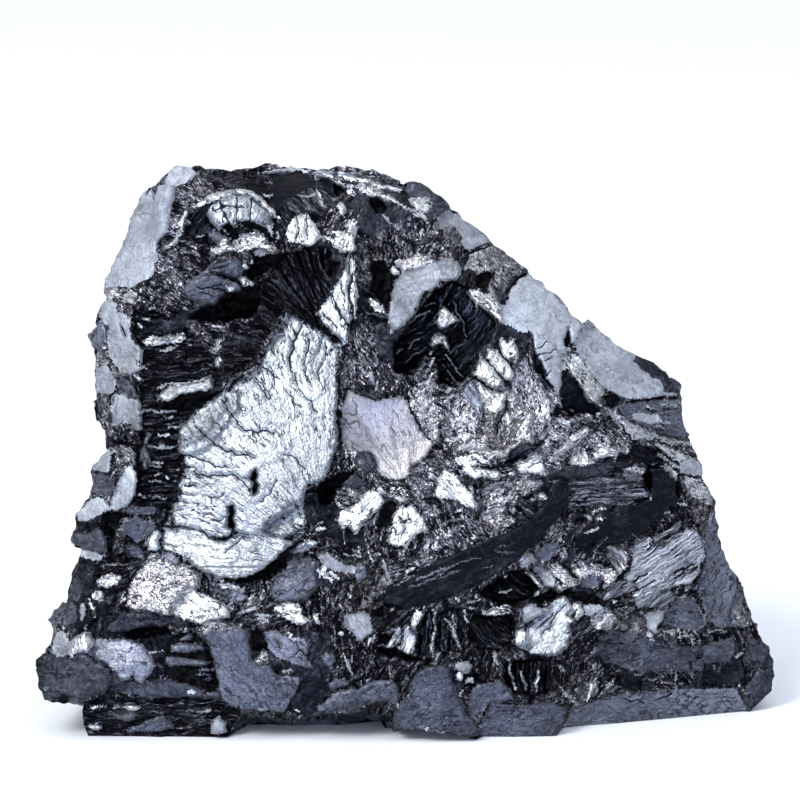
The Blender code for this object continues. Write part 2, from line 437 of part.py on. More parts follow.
        (30.6, 25.6), (31.6, 26.6), (33.2, 27), (36, 28.2), (39, 27.9), (40.2, 25.4), (40.2, 23.6),
        (38.6, 22.6), (38, 20.8), (34.4, 19.4), (33, 17.9), (31, 18.6), (29.4, 19.2), (25.8, 18.3),
        (28.4, 20.8), (30.6, 22.6),
    ]),
    ("striped_toe", (0.4, 8, 6), 0, [
        (31.2, 17), (34.6, 19.3), (36.6, 20), (37.6, 20.2), (35.6, 17.4), (34.4, 16.6), (34, 14.8),
        (33.4, 14.6), (31.8, 16.4),
    ]),
    ("flank_dark", (0.2, 30, 2), -0.4, [
        (40.2, 28.6), (42.2, 29.8), (43.4, 24.2), (45.7, 20.8), (47.3, 15.4), (45.4, 14.2), (42, 14.4),
        (40.6, 16), (39.4, 19.6), (40.4, 23.4), (40.4, 25.6),
    ]),
    ("flank_knob", (-0.6, 26, 8), 0, [
        (44.6, 15), (44.2, 16.8), (45.4, 17.4), (46.8, 16.4), (46.8, 14.8), (45.4, 14.4),
    ]),
    ("arc_plate", (0.4, 6, 8), 0.5, [
        (26.6, 25.6), (29.4, 26), (29.8, 24.4), (29.6, 22.6), (28.6, 21.6), (27.6, 23.2), (26.6, 24.4),
    ]),
    ("crust_left", (-0.2, -6, 14), 0, [
        (18.6, 22.4), (19.8, 23.4), (21.8, 23.4), (23.6, 22.2), (22.8, 20.8), (20.4, 19.8),
        (19.6, 20.6),
    ]),
    ("crust_right", (-0.1, -4, 18), 0, [
        (22, 23.6), (24, 23.4), (26.4, 23), (28.2, 21.6), (27.4, 20.2), (26.2, 20.6), (26, 21.8),
        (23.8, 21.6),
    ]),
    ("crust_plate", (0.4, 0, 6), 0, [
        (23, 21.4), (24.2, 22), (26, 21.6), (25.6, 20), (24, 19.9),
    ]),
    ("crust_slate", (0, 6, -6), 0, [
        (14.8, 23.6), (15.8, 24.4), (17.2, 25.4), (20, 25.6), (20.6, 24.4), (18.4, 23.4), (16, 22.9),
    ]),
    ("bowl_upper", (3, -6, -10), 1.4, [
        (10.6, 19), (11.8, 21), (14.6, 22.6), (16.2, 21.6), (17, 19.6), (16.4, 18), (13.4, 17.8),
        (11.2, 18.2),
    ]),
    ("bowl_rim", (0.6, -20, 8), 0.3, [
        (14.9, 22.6), (16.2, 22.6), (18.6, 21), (18.8, 19.8), (17.4, 19.6), (16.6, 21.4),
    ]),
    ("crevice", (2.6, 0, -20), 0, [
        (16.6, 18.2), (20, 18.9), (25, 19.4), (26.4, 18.8), (24, 18.2), (20, 18.1),
    ]),
    ("bright_shell", (-0.6, -11, 12), 0.4, [
        (14.2, 12.2), (15, 14.6), (15.2, 17.6), (17, 18), (18.4, 17.6), (21.6, 18.6), (22.4, 17.6),
        (23.6, 18.2), (23.6, 16.4), (22.2, 15), (21.6, 12.6), (20.4, 11), (17.6, 11.2), (15.4, 10.4),
        (14.4, 11.2),
    ]),
    ("shell_ledge", (-0.2, 4, 14), 0, [
        (23.8, 17.4), (26, 17.8), (26.6, 16.9), (24.6, 16.2), (24, 15.4),
    ]),
    ("crumb_right", (0.4, 0, 8), 0, [
        (24.6, 14.6), (25.2, 16.6), (27, 17.2), (28, 16), (26.8, 14.6),
    ]),
    ("bowl_lower", (2.6, -8, -6), 1.2, [
        (8, 15.6), (8.6, 16.6), (13.4, 16.3), (14.2, 14.6), (14, 12.6), (12.6, 11.6), (9.4, 11.8),
        (8, 13.6),
    ]),
    ("sliver", (0.2, -6, 36), 0, [
        (8.2, 17.3), (10.2, 16.7), (13, 16.4), (13.9, 17.4), (12, 17.3), (9.6, 17.8),
    ]),
    ("curl", (-0.3, -12, 10), 0.4, [
        (-2.9, 12.3), (-1.4, 15), (-0.4, 15), (0.4, 14.2), (1, 13.6), (0.4, 11.4), (-1.2, 12.4),
    ]),
    ("curl_crack", (2.2, 0, -16), 0, [
        (-4.6, 11.8), (-3.2, 12.1), (0.6, 11.1), (2.2, 10.4), (1, 10.2), (-2.6, 10.9),
    ]),
    ("column_hole", (2, 8, 0), 0.3, [
        (1.2, 11.4), (2.2, 16.8), (3.2, 17.2), (3.6, 15), (3.2, 11.2),
    ]),
    ("post_field", (1.2, 0, 0), 0.2, [
        (3.8, 11.4), (4, 16.8), (7.6, 17.4), (7.8, 14), (8, 11.8),
    ]),
    ("colonnade", (1.4, -4, -6), 0.4, [
        (13.2, 10), (18, 10.6), (22.6, 10.2), (21.8, 7.6), (20, 6), (16.4, 5.4), (14, 6.2), (13, 8),
    ]),
    ("blue_rock", (-0.2, -4, 10), -0.3, [
        (-18.4, 19.6), (-17.6, 21.2), (-15.4, 23.8), (-12.8, 24.2), (-12.2, 22), (-12, 20),
        (-13.6, 18.4), (-17.8, 18.2),
    ]),
    ("blue_rock_crumbs", (-0.2, -8, 18), 0, [
        (-18.4, 17.9), (-14.4, 18.4), (-13.4, 16.6), (-12.4, 15.2), (-14, 15.2), (-16, 15.8),
    ]),
    ("grey_tongue", (0, 0, 8), 0, [
        (-11.8, 24.4), (-9.6, 24), (-7, 22.6), (-7.2, 21.8), (-9.8, 22.4), (-11.6, 23.2),
    ]),
    ("pebble", (-0.7, -2, 12), -0.4, [
        (-8, 15.9), (-6.8, 16.8), (-5.2, 16.6), (-4.8, 15.4), (-5.4, 13.8), (-6.4, 13.2), (-7.2, 14.4),
    ]),
    ("grey_plate", (-0.6, -4, 4), 0, [
        (-18, 12.6), (-17.2, 14), (-14.2, 13.6), (-13.4, 12.4), (-13.2, 10.8), (-12.4, 9.6),
        (-13.6, 9.3), (-15.4, 10.6), (-17.4, 11.2),
    ]),
    ("brow_left", (-0.8, -3, -4), -0.5, [
        (-25.4, 13), (-27.6, 15.4), (-22.8, 15.8), (-21.4, 14.4), (-21, 11.2), (-20, 9.8), (-17, 9.6),
        (-14.4, 8.2), (-15.6, 5.4), (-15.8, 4), (-18, 3.2), (-21.6, 3.2), (-24.2, 4), (-25.2, 7.8),
    ]),
    ("ribs", (0.8, 6, 0), 0, [
        (-32.2, 10.8), (-30.8, 13), (-28.2, 14.2), (-26, 12), (-25.6, 9), (-25.4, 6.2), (-28, 6.4),
        (-31.6, 8.6),
    ]),
    ("lump_face", (-0.8, -8, 12), -0.6, [
        (-45.2, 12.4), (-41.8, 13.8), (-38.2, 13.4), (-35.6, 12.9), (-34.2, 11), (-34.4, 8.6),
        (-35.6, 7), (-38.6, 8.2), (-40.2, 9.6), (-42.2, 11.2),
    ]),
    ("lump_left", (-0.4, -24, -8), -0.8, [
        (-50.3, 9.6), (-48.6, 11.8), (-46.6, 10.6), (-45, 11), (-42.8, 10.4), (-40.6, 9.2),
        (-39.2, 7.6), (-42.6, 5.2), (-44.4, 4.4), (-47.6, 4.4), (-49.7, 6),
    ]),
    ("lump_curl", (-1.3, -14, 18), -0.3, [
        (-45.5, 11.4), (-44.6, 13.2), (-42.8, 14), (-42, 13.2), (-43.2, 12), (-44.9, 10.9),
    ]),
    ("lump_ear", (0, -30, 6), 0, [
        (-47.9, 12.6), (-46.6, 14.2), (-45.6, 12.4), (-46, 11.4), (-46.8, 10.8), (-47.6, 11.6),
    ]),
    ("lump_strip", (1.4, 0, -12), 0, [
        (-39, 7.4), (-35.4, 6.8), (-33.8, 8), (-26, 7.4), (-25.4, 5.4), (-30, 5.8), (-36, 5.6),
        (-41, 5.8),
    ]),
    ("brow_slab", (-1.2, -2, -10), -0.3, [
        (-41, 14.6), (-38.8, 16.6), (-36, 17), (-32, 16.3), (-29.6, 15.8), (-30.6, 14.6),
        (-34.4, 14.9), (-37.6, 14.5),
    ]),
    ("mouth", (2.6, 0, -20), 0, [
        (-38.4, 14), (-36, 14.7), (-32, 14.9), (-33, 14), (-35, 13.4),
    ]),
    ("brow_mid", (-0.8, 0, -12), -0.3, [
        (-12.4, 3.4), (-9, 5.6), (-7.6, 6.6), (-4.4, 7.8), (-2.2, 7.6), (-0.8, 6.4), (-1, 5.2),
        (-2.2, 4.4), (-3.4, 4.8), (-6.4, 3.8), (-8.4, 3),
    ]),
    ("dark_saddle", (0.8, 6, -6), 0, [
        (-15.6, 7.4), (-12, 8.2), (-8, 7.4), (-9.6, 5.8), (-12.4, 3.8), (-13.6, 2.8), (-15.4, 3.6),
    ]),
    ("toe_left", (-0.6, -4, -6), -0.5, [
        (0.5, 8.2), (1.8, 9.2), (4.4, 9.6), (6, 8.8), (6, 6), (6.8, 4.4), (8.4, 3.2), (9.4, 1.4),
        (9.4, 0.2), (6, 0.3), (2, 0.6), (-0.6, 0.6), (-2, 1), (-0.9, 3.4), (-0.4, 5.4),
    ]),
    ("toe_upper", (-0.3, 0, 0), 0, [
        (7.4, 6.4), (9.4, 7), (12.4, 7.6), (14, 6.4), (14.4, 5), (10.4, 4.6), (9.9, 3), (8.2, 3.4),
        (6.8, 4.6),
    ]),
    ("toe_right", (-0.9, 2, -8), -0.3, [
        (9.6, -1.8), (10, 1.2), (10.2, 3), (11.2, 4.6), (14.6, 4.2), (19.4, 4.6), (21.4, 3.8),
        (20.4, 0.8), (20.6, -1), (17, -1.8), (13.6, -2),
    ]),
    ("knuckle", (-0.6, 0, 12), -0.2, [
        (6.4, 9.2), (7, 10.4), (9, 10.2), (8.6, 8.8), (7.2, 8.4),
    ]),
    ("strip_mid", (-0.7, 10, 4), 0, [
        (26.2, 12.6), (27.4, 14), (31, 13.8), (35, 12.8), (38.6, 12.6), (42, 12), (41, 10.6),
        (36, 10.4), (30, 11.4), (27, 11.2),
    ]),
    ("strip_low", (1, 20, -4), -0.2, [
        (20.8, -0.6), (20.6, 1), (22, 3.4), (26, 5.2), (32, 6), (38, 6.2), (44.6, 6.2), (45.8, 3.8),
        (45.9, 1.6), (41.6, 1.2), (36, 0.8), (30, -0.2), (24, -0.8),
    ]),
    ("corner_low", (-0.3, 24, -6), -0.2, [
        (46, 6.4), (47.6, 8.6), (49.4, 8.8), (50.2, 6.2), (49.4, 4.2), (46.4, 2), (45.8, 4),
    ]),
    ("corner_high", (0, 28, 10), -0.2, [
        (45.6, 10.2), (46.2, 12.6), (48.4, 13), (50, 10.2), (49.4, 9), (46.6, 9.2),
    ]),
    ("corner_shade", (0.5, 14, 0), 0.2, [
        (40, 6.6), (40.2, 9.6), (45.4, 10), (45.8, 7.4), (44, 6.5),
    ]),
    ("foot", (2.6, -2, -6), 0, [
        (-43.9, 4.6), (-43.9, 1), (-43.6, -2), (-34, -2.4), (-24, -2.4), (-22.8, 1), (-22, 3.6),
        (-25, 5.2), (-30, 5.5), (-36, 5.3), (-41, 5.4),
    ]),
    ("foot_plate", (2.2, -4, -4), 0, [
        (-37, 1.3), (-34.6, 2.4), (-32.4, 2.6), (-31.2, 1.8), (-31.6, 1), (-36, 0.8),
    ]),
)


def edges_of(outline):
    """Each side of an outline as a pair of points."""
    return zip(outline, outline[1:] + outline[:1])


def area_of(outline):
    """Signed area, positive when the outline runs anticlockwise."""
    return sum(a[0] * b[1] - b[0] * a[1] for a, b in edges_of(outline)) / 2


def holds(outline, s, t):
    """Whether the point lies inside the outline."""
    inside = False
    for (s0, t0), (s1, t1) in edges_of(outline):
        if (t0 > t) != (t1 > t) and s < s0 + (t - t0) * (s1 - s0) / (t1 - t0):
            inside = not inside
    return inside


def distance_to(outline, s, t):
    """Distance from the point to the nearest side of the outline."""
    best = 1e9
    for (s0, t0), (s1, t1) in edges_of(outline):
        ds, dt = s1 - s0, t1 - t0
        along = ((s - s0) * ds + (t - t0) * dt) / (ds * ds + dt * dt)
        along = min(1.0, max(0.0, along))
        best = min(best, math.hypot(s - s0 - ds * along, t - t0 - dt * along))
    return best


def moved_out(outline, distance):
    """The outline with each corner moved outwards, or inwards when the distance is negative."""
    sign = 1 if area_of(outline) > 0 else -1
    result = []
    for i, (s, t) in enumerate(outline):
        before, after = outline[i - 1], outline[(i + 1) % len(outline)]
        a = Vector((s - before[0], t - before[1])).normalized()
        b = Vector((after[0] - s, after[1] - t)).normalized()
        normal = Vector((a.y + b.y, -a.x - b.x)) * sign
        if normal.length < 0.3:
            normal = Vector((a.y, -a.x)) * sign
        normal.normalize()
        result.append((s + normal.x * distance, t + normal.y * distance))
    return result


def front_base(s, t):
    """Depth of the blocked-out front."""
    return max(at + s * across + t * up for at, across, up in FRONT_PLANES)


class Facet:
    """One break face: a tilted plane that may be hollowed or domed."""

    def __init__(self, name, tilt, bowl, outline):
        sink, yaw, pitch = tilt
        self.name = name
        self.outline = outline
        self.area = abs(area_of(outline))
        self.s = sum(p[0] for p in outline) / len(outline)
        self.t = sum(p[1] for p in outline) / len(outline)
        self.depth = front_base(self.s, self.t) + sink
        self.across = math.tan(math.radians(yaw))
        self.up = math.tan(math.radians(pitch))
        self.bowl = bowl
        self.radius = math.sqrt(self.area / math.pi)
        self.low = (min(p[0] for p in outline), min(p[1] for p in outline))
        self.high = (max(p[0] for p in outline), max(p[1] for p in outline))

    def covers(self, s, t):
        if not (self.low[0] <= s <= self.high[0] and self.low[1] <= t <= self.high[1]):
            return False
        return holds(self.outline, s, t)

    def depth_at(self, s, t):
        ds, dt = s - self.s, t - self.t
        dome = max(0.0, 1 - (ds * ds + dt * dt) / (self.radius * self.radius * 1.7))
        return self.depth + ds * self.across + dt * self.up + self.bowl * dome


def facet_at(facets, s, t):
    """The facet on top at this point, or None between facets."""
    for facet in reversed(facets):
        if facet.covers(s, t):
            return facet
    return None


def front_depth(facets, dice, s, t):
    facet = facet_at(facets, s, t)
    if facet:
        return facet.depth_at(s, t)
    return front_base(s, t) + dice.uniform(-ROUGH, ROUGH)


def back_chunks(dice):
    """Blocky break faces of the back: centre, offset and tilts."""
    chunks = []
    for i in range(-5, 6):
        for j in range(0, 8):
            s = (i + dice.uniform(-0.4, 0.4)) * BACK_CHUNK
            t = (j + dice.uniform(-0.4, 0.4)) * BACK_CHUNK
            chunks.append((s, t, dice.uniform(-1.7, 1.7), dice.gauss(0, 0.17), dice.gauss(0, 0.17)))
    return chunks


def back_depth(chunks, dice, s, t):
    """Depth of the back: broad planes, blocky faces on them, shell-like breaks cut into both."""
    depth = min(at + s * across + t * up for at, across, up in BACK_PLANES)
    cs, ct, offset, across, up = min(chunks, key=lambda c: math.hypot(s - c[0], t - c[1]))
    depth += offset + (s - cs) * across + (t - ct) * up
    for name, (cs, ct), radius, cut in BACK_BREAKS:
        away = math.hypot(s - cs, t - ct) / radius
        if away < 1:
            depth -= cut * (1 - away * away) * (0.55 + 0.45 * (s > cs))
    return depth + dice.uniform(-0.15, 0.15)


def add_points(points, candidates, gap):
    """Adds each candidate that keeps its distance from every point before it."""
    cells = {}
    for s, t in points:
        cells.setdefault((int(s // gap), int(t // gap)), []).append((s, t))
    added = []
    for s, t in candidates:
        i, j = int(s // gap), int(t // gap)
        near = [p for a in (i - 1, i, i + 1) for b in (j - 1, j, j + 1) for p in cells.get((a, b), ())]
        if all(math.hypot(s - p[0], t - p[1]) >= gap for p in near):
            cells.setdefault((i, j), []).append((s, t))
            added.append((s, t))
    return points + added


def front_points(facets, dice):
    """Rim points first, then a pair of rings for every facet, then the grains between."""
    points = list(OUTLINE)
    rings = []
    for facet in sorted(facets, key=lambda f: -f.area):
        rings += moved_out(facet.outline, -RING) + moved_out(facet.outline, RING)
        rings.append((facet.s, facet.t))
    grains = []
    for i in range(-21, 21):
        for j in range(0, 32):
            grains.append((i * GRAIN + dice.uniform(-0.9, 0.9), j * GRAIN + dice.uniform(-0.9, 0.9)))
    rings = [p for p in rings if holds(OUTLINE, *p) and distance_to(OUTLINE, *p) > 0.3]
    grains = [p for p in grains if holds(OUTLINE, *p) and distance_to(OUTLINE, *p) > 0.8]
    points = add_points(points, rings, NEAREST)
    grains = [p for p in grains if not spans_facet(facets, p)]
    return add_points(points, grains, 1.25)


def spans_facet(facets, point):
    """Grains are kept off the flat facets and stay on the hollowed ones."""
    facet = facet_at(facets, *point)
    return facet is not None and abs(facet.bowl) < 0.45


def sheet(points, rim_count):
    """Triangles over the points, inside the rim made by the first rim_count of them."""
    rim = [(i, (i + 1) % rim_count) for i in range(rim_count)]
    rim_face = [list(range(rim_count))]
    found = delaunay_2d_cdt([Vector(p) for p in points], rim, rim_face, 1, 1e-5)
    index = [source[0] for source in found[3]]
    return [[index[v] for v in face] for face in found[2]]


def back_rim():
    """The back outline, with as many points as the front one, matched by angle round the waist."""
    rim = []
    for s, t in OUTLINE:
        ds, dt = s - WAIST[0], t - WAIST[1]
        far = (WAIST[0] + ds * 3, WAIST[1] + dt * 3)
        share = min(crossing(WAIST, far, a, b) for a, b in edges_of(BACK_OUTLINE))
        rim.append((WAIST[0] + ds * 3 * share, WAIST[1] + dt * 3 * share))
    return rim


def crossing(start, end, a, b):
    """How far along start to end the side a-b is met, or a large number when it is missed."""
    ds, dt = end[0] - start[0], end[1] - start[1]
    es, et = b[0] - a[0], b[1] - a[1]
    cross = ds * et - dt * es
    if abs(cross) < 1e-9:
        return 1e9
    share = ((a[0] - start[0]) * et - (a[1] - start[1]) * es) / cross
    side = ((a[0] - start[0]) * dt - (a[1] - start[1]) * ds) / cross
    return share if share > 0 and -1e-6 <= side <= 1 + 1e-6 else 1e9


def place(s, t, depth):
    """From the leaning plane of the front to upright millimetres."""
    cos, sin = math.cos(LEAN), math.sin(LEAN)
    return Vector((s, t * sin + depth * cos, t * cos - depth * sin))


def add_front(mesh, facets, dice):
    points = front_points(facets, dice)
    verts = [mesh.verts.new(place(s, t, front_depth(facets, dice, s, t))) for s, t in points]
    for face in sheet(points, len(OUTLINE)):
        mesh.faces.new([verts[v] for v in face])
    return verts[:len(OUTLINE)]


def add_sides(mesh, front_rim, chunks, dice):
    """Walls from the front rim to the back rim, in steps that swell and draw in by blocks."""
    rim = back_rim()
    starts = [depth_of(v.co) for v in front_rim]
    ends = [back_depth(chunks, dice, s, t) for s, t in rim]
    before = list(enumerate(front_rim))
    for share, way, swell, run in SIDE_STEPS:
        ring = []
        i = dice.randint(0, run - 1)
        out = 0
        while i < len(OUTLINE):
            if dice.random() < 0.55:
                out = dice.uniform(-swell, 0.1 * swell)
            depth = starts[i] + (ends[i] - starts[i]) * share + dice.uniform(-swell, swell)
            ring.append((i, mesh.verts.new(place(*side_point(i, rim, way, out, depth), depth))))
            i += dice.randint(max(1, run - 1), run + 1)
        stitch(mesh, before, ring)
        before = ring
    last = [(i, mesh.verts.new(place(s, t, ends[i]))) for i, (s, t) in enumerate(rim) if i % 3 == 0]
    stitch(mesh, before, last)
    return [vert for i, vert in last], [rim[i] for i, vert in last]


def side_point(i, rim, way, out, depth):
    """Where column i of the side stands: part of the way to the back outline, pushed out or in."""
    s, t = OUTLINE[i]
    ds, dt = s - WAIST[0], t - WAIST[1]
    length = math.hypot(ds, dt)
    s += (rim[i][0] - s) * way + out * ds / length
    t += (rim[i][1] - t) * way + out * dt / length
    if ARCH[0] < OUTLINE[i][0] < ARCH[1] and OUTLINE[i][1] < ARCH[2]:
        t = min(t, OUTLINE[i][1] + 0.5) - max(0, depth + 2) * ARCH[2] * 0.5 / ARCH_DEPTH
    return s, t


def depth_of(co):
    return co.y * math.cos(LEAN) - co.z * math.sin(LEAN)


def stitch(mesh, near, far):
    """Triangles between two rings whose points carry the column they belong to."""
    count = len(OUTLINE)
    near = near + [(near[0][0] + count, near[0][1])]
    far = far + [(far[0][0] + count, far[0][1])]
    i = j = 0
    while i < len(near) - 1 or j < len(far) - 1:
        if j == len(far) - 1 or (i < len(near) - 1 and near[i + 1][0] <= far[j + 1][0]):
            mesh.faces.new((near[i][1], far[j][1], near[i + 1][1]))
            i += 1
        else:
            mesh.faces.new((near[i][1], far[j][1], far[j + 1][1]))
            j += 1


def add_back(mesh, rim_verts, rim, chunks, dice):
    grid = []
    for i in range(-16, 17):
        for j in range(0, 24):
            s = i * BACK_SPACING + dice.uniform(-1.1, 1.1)
            t = j * BACK_SPACING + dice.uniform(-1.1, 1.1)
            if holds(rim, s, t) and distance_to(rim, s, t) > 1.4:
                grid.append((s, t))
    points = add_points(list(rim), grid, 1.6)
    inner = [(s, t, back_depth(chunks, dice, s, t)) for s, t in points[len(rim):]]
    verts = rim_verts + [mesh.verts.new(place(*point)) for point in inner]
    for face in sheet(points, len(rim)):
        mesh.faces.new([verts[v] for v in reversed(face)])


def cut_base(mesh):
    """Cuts the stone flat where it stands and closes the cut."""
    everything = mesh.verts[:] + mesh.edges[:] + mesh.faces[:]
    bmesh.ops.bisect_plane(mesh, geom=everything, plane_co=(0, 0, 0), plane_no=(0, 0, 1), clear_inner=True)
    open_edges = [edge for edge in mesh.edges if edge.is_boundary]
    bmesh.ops.holes_fill(mesh, edges=open_edges, sides=0)


def drop_crumbs(mesh):
    """Removes any sliver that the flat cut has parted from the stone."""
    left = set(mesh.verts)
    bodies = []
    while left:
        body = set()
        front = [left.pop()]
        while front:
            vert = front.pop()
            body.add(vert)
            near = {edge.other_vert(vert) for edge in vert.link_edges} & left
            left -= near
            front += near
        bodies.append(body)
    bodies.sort(key=len)
    crumbs = [vert for body in bodies[:-1] for vert in body]
    bmesh.ops.delete(mesh, geom=crumbs, context="VERTS")


def centre_on_base(mesh):
    """Moves the stone so that the middle of its box, at floor level, is the origin."""
    xs = [v.co.x for v in mesh.verts]
    ys = [v.co.y for v in mesh.verts]
    middle = Vector(((min(xs) + max(xs)) / 2, (min(ys) + max(ys)) / 2, 0))
    bmesh.ops.translate(mesh, verts=mesh.verts, vec=-middle)
    bmesh.ops.scale(mesh, verts=mesh.verts, vec=(MM, MM, MM))


def mineral():
    """Silvery black mineral, half metallic."""
    material = bpy.data.materials.new("shungite")
    material.use_nodes = True
    shader = material.node_tree.nodes["Principled BSDF"]
    shader.inputs["Base Color"].default_value = (0.09, 0.095, 0.11, 1)
    shader.inputs["Metallic"].default_value = 0.6
    shader.inputs["Roughness"].default_value = 0.35
    return material


def build_stone():
    dice = random.Random(SEED)
    facets = [Facet(*row) for row in FACETS]
    facets = [facet for facet in facets if facet.area > SMALLEST]
    mesh = bmesh.new()
    front_rim = add_front(mesh, facets, dice)
    chunks = back_chunks(dice)
    back_verts, rim = add_sides(mesh, front_rim, chunks, dice)
    add_back(mesh, back_verts, rim, chunks, dice)
    bmesh.ops.recalc_face_normals(mesh, faces=mesh.faces)
    cut_base(mesh)
    bmesh.ops.remove_doubles(mesh, verts=mesh.verts, dist=0.05)
    drop_crumbs(mesh)
    bmesh.ops.triangulate(mesh, faces=mesh.faces)
    bmesh.ops.recalc_face_normals(mesh, faces=mesh.faces)
    centre_on_base(mesh)
    data = bpy.data.meshes.new(NODE)
    mesh.to_mesh(data)
    mesh.free()
    data.materials.append(mineral())
    stone = bpy.data.objects.new(NODE, data)
    bpy.context.scene.collection.objects.link(stone)
    return stone


for thing in list(bpy.data.objects):
    bpy.data.objects.remove(thing)
build_stone()
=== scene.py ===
"""Shungite stone: the finely broken surface, its finishes, the floor and the light.

The front is laid out in a plane that leans back 12 degrees: s runs right, t runs up it and depth
runs away from the front, all in millimetres, as in the stone's solid.
"""

import itertools
import math
import random

import bmesh
import bpy
import numpy as np
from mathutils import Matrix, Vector, noise
from mathutils.geometry import delaunay_2d_cdt


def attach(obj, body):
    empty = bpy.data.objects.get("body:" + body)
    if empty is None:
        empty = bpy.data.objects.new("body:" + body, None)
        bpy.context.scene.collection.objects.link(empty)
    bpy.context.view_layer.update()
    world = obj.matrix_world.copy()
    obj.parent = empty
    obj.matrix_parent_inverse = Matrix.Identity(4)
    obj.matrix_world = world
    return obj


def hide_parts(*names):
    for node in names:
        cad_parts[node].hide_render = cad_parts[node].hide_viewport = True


MM = 0.001
LEAN = math.radians(12)
COS, SIN = math.cos(LEAN), math.sin(LEAN)
INWARD = Vector((0, COS, -SIN))
SEED = 8
noise.seed_set(SEED)
TENTH = 0.1  # cracks are given in tenths of a millimetre

# Lengths in millimetres.
FINE = 0.32  # spacing of the points on the front
ROW = 0.87  # spacing of their rows, as a share of FINE
STRAY = 0.22  # how far each strays from its place, as a share of FINE
KEEP_OFF = 0.62  # how far each keeps off the others, as a share of FINE
COLUMNS, ROWS = range(-138, 139), range(-2, 242)  # as many as cover the front
LINE_KEEP_OFF = 0.17  # how far points along edges and cracks keep off the others
BOX = 0.4  # size of the boxes that the points are sorted into
WELD = 1e-5  # points nearer than this become one
EDGE_STEP = 0.5  # spacing of the points along a facet's edge
EDGE_WALL = 0.13  # half the width of the wall at a facet's edge
CRACK_STEP = 0.3  # spacing of the points along a crack
CRACK_STRAY = 0.35  # how far a crack strays from its line
CRACK_TIP = 0.35  # width of a crack at its ends, as a share of its full width
CRACK_WIDENS = 0.5  # how much of its full width it gains with each millimetre
RIM_NEAR = 0.03  # edges of the solid this near the outline are the rim of the front
RIM_CUTS = 4  # cuts in each edge of the rim
RIM_ABOVE = 0.4  # the rim is chipped above this height
RIM_CHIPS = ((0.9, 0.3), (2.3, 0.16))  # chips of the rim: waves per millimetre, height
RIM_DEEPER = 2  # they run this much farther into the depth than along the front
REST_EDGE = 1.15  # longest edge that the sides and the back keep
REST_ROUNDS = 5  # how often they may be divided
REST_ABOVE = 0.05  # they are chipped above this height
REST_SINK = 0.35  # how far their surface stands in
REST_CHIPS = ((7.0, 0.5, 0.16), (2.4, 0.22, 0.3), (1.0, 0.1, 0.3))  # chips: size, rise, tilt
LOWEST = 0.02  # nothing that is moved sinks below this height
STEEP = 0.35  # cosine below which a face of the front counts as a wall
SLIM = 0.8  # facets of a smaller radius leave their walls to what lies round them
SHARP = math.radians(38)  # edges sharper than this aren't smoothed

# Broad planes that block out the stone: depth = at + s * across + t * up, deepest one wins.
FRONT_PLANES = (
    (-2.3, 0.00, 0.075),  # main face
    (-4.6, 0.40, 0.03),  # right flank, turned away to the right
    (-44.0, 0.765, 0.644),  # slope that falls from the top to the right
    (-46.8, -0.95, 0.246),  # left edge, turned away to the left
    (-76.0, 0.00, 1.12),  # brow along the top
)

MIDDLE_Y = 25.29981  # the middle of the solid stands this far behind the front's zero
# Outline of the front, clockwise from the left foot, as in the solid: s and t in millimetres.
OUTLINE = """
-42.6,-0.45 -43.25,1.8 -43.6,3.6 -43.3,4.6 -46.8,4.7 -48.4,5.2 -49.1,6.2 -49.6,8 -49.9,9.6 -49.5,10.6
-48.5,11.6 -47.8,12.8 -47.5,14.9 -48.2,15.7 -47.2,17.3 -46.2,18 -45.7,18.2 -45.3,20.5 -44.6,22.8
-43.8,24.5 -43.7,25.3 -45,26 -45.1,26.7 -44.6,28 -44.4,30 -43.2,31.3 -42.7,32.6 -42.3,34 -42.5,35.6
-42.4,36.1 -41,37.7 -40.3,38.6 -40.7,40.2 -40.5,41.2 -41.8,42.6 -41.9,44.6 -42.1,45.2 -41.8,45.6 -41.9,48
-42,50 -42,52.1 -43,53.6 -42.8,54.4 -41.8,55.4 -41.6,57.4 -40.4,59 -41,60.5 -40.6,61.7 -40,62.4 -39.9,63.2
-38.2,66.4 -37.5,69 -36.9,70.4 -36,72.5 -34.6,73.9 -33.8,74.2 -32.2,76.1 -31,76.8 -28,76.8 -24,76.2
-20.4,76.2 -18,76.7 -16,76.9 -14,76.6 -12.2,76.3 -9.6,76.8 -6,76.5 -3.6,75.8 -2,75.3 -0.4,74.3 0.4,74.6
2,74.4 4.2,73 5.8,71.8 6,71.1 10,67.9 13,65.2 16,63 16.4,62.2 18.2,60.9 21.6,57.8 22,57 23.8,55.7 24.5,56
25.3,55.6 25.9,54.6 29.6,52 33.6,50.2 34.2,49.7 35.2,49.1 35.6,48.3 37,47.8 37.3,47.4 37.1,45 37.3,43
38,41 38.3,39.6 39.2,37.6 39.9,36.4 39.9,35 40.3,34.2 41.5,32.4 41.8,30 42.2,27 43,24.2 44,22.2 45.2,20.8
45.6,19.4 46.4,16.6 46.9,15.2 47.6,13.8 48.8,12.2 49.6,10.4 49.9,9.2 49.6,8 49.6,6.4 49.3,5.6 48,4.6
46.6,3.1 45.6,2.4 44.2,2.2 41,2.1 37,1.9 33,1.3 28,0.9 22,0.6 20,0.2 17,-0.4 13.6,-0.65 10,-0.8 9.4,-0.4
6,0.8 2,1.1 -0.6,1 -1.7,1.3 -2.1,2.4 -2.5,4.8 -3.4,5.2 -6.4,4.2 -8.3,3.4 -11.5,3.7 -13.4,3 -14.8,3.2
-16,3.5 -19,3.7 -21.6,3.8 -22.4,3.2 -23.4,1.6 -24.4,-0.8 -26,-1.1 -30,-1.1 -34,-1 -38,-0.8
"""
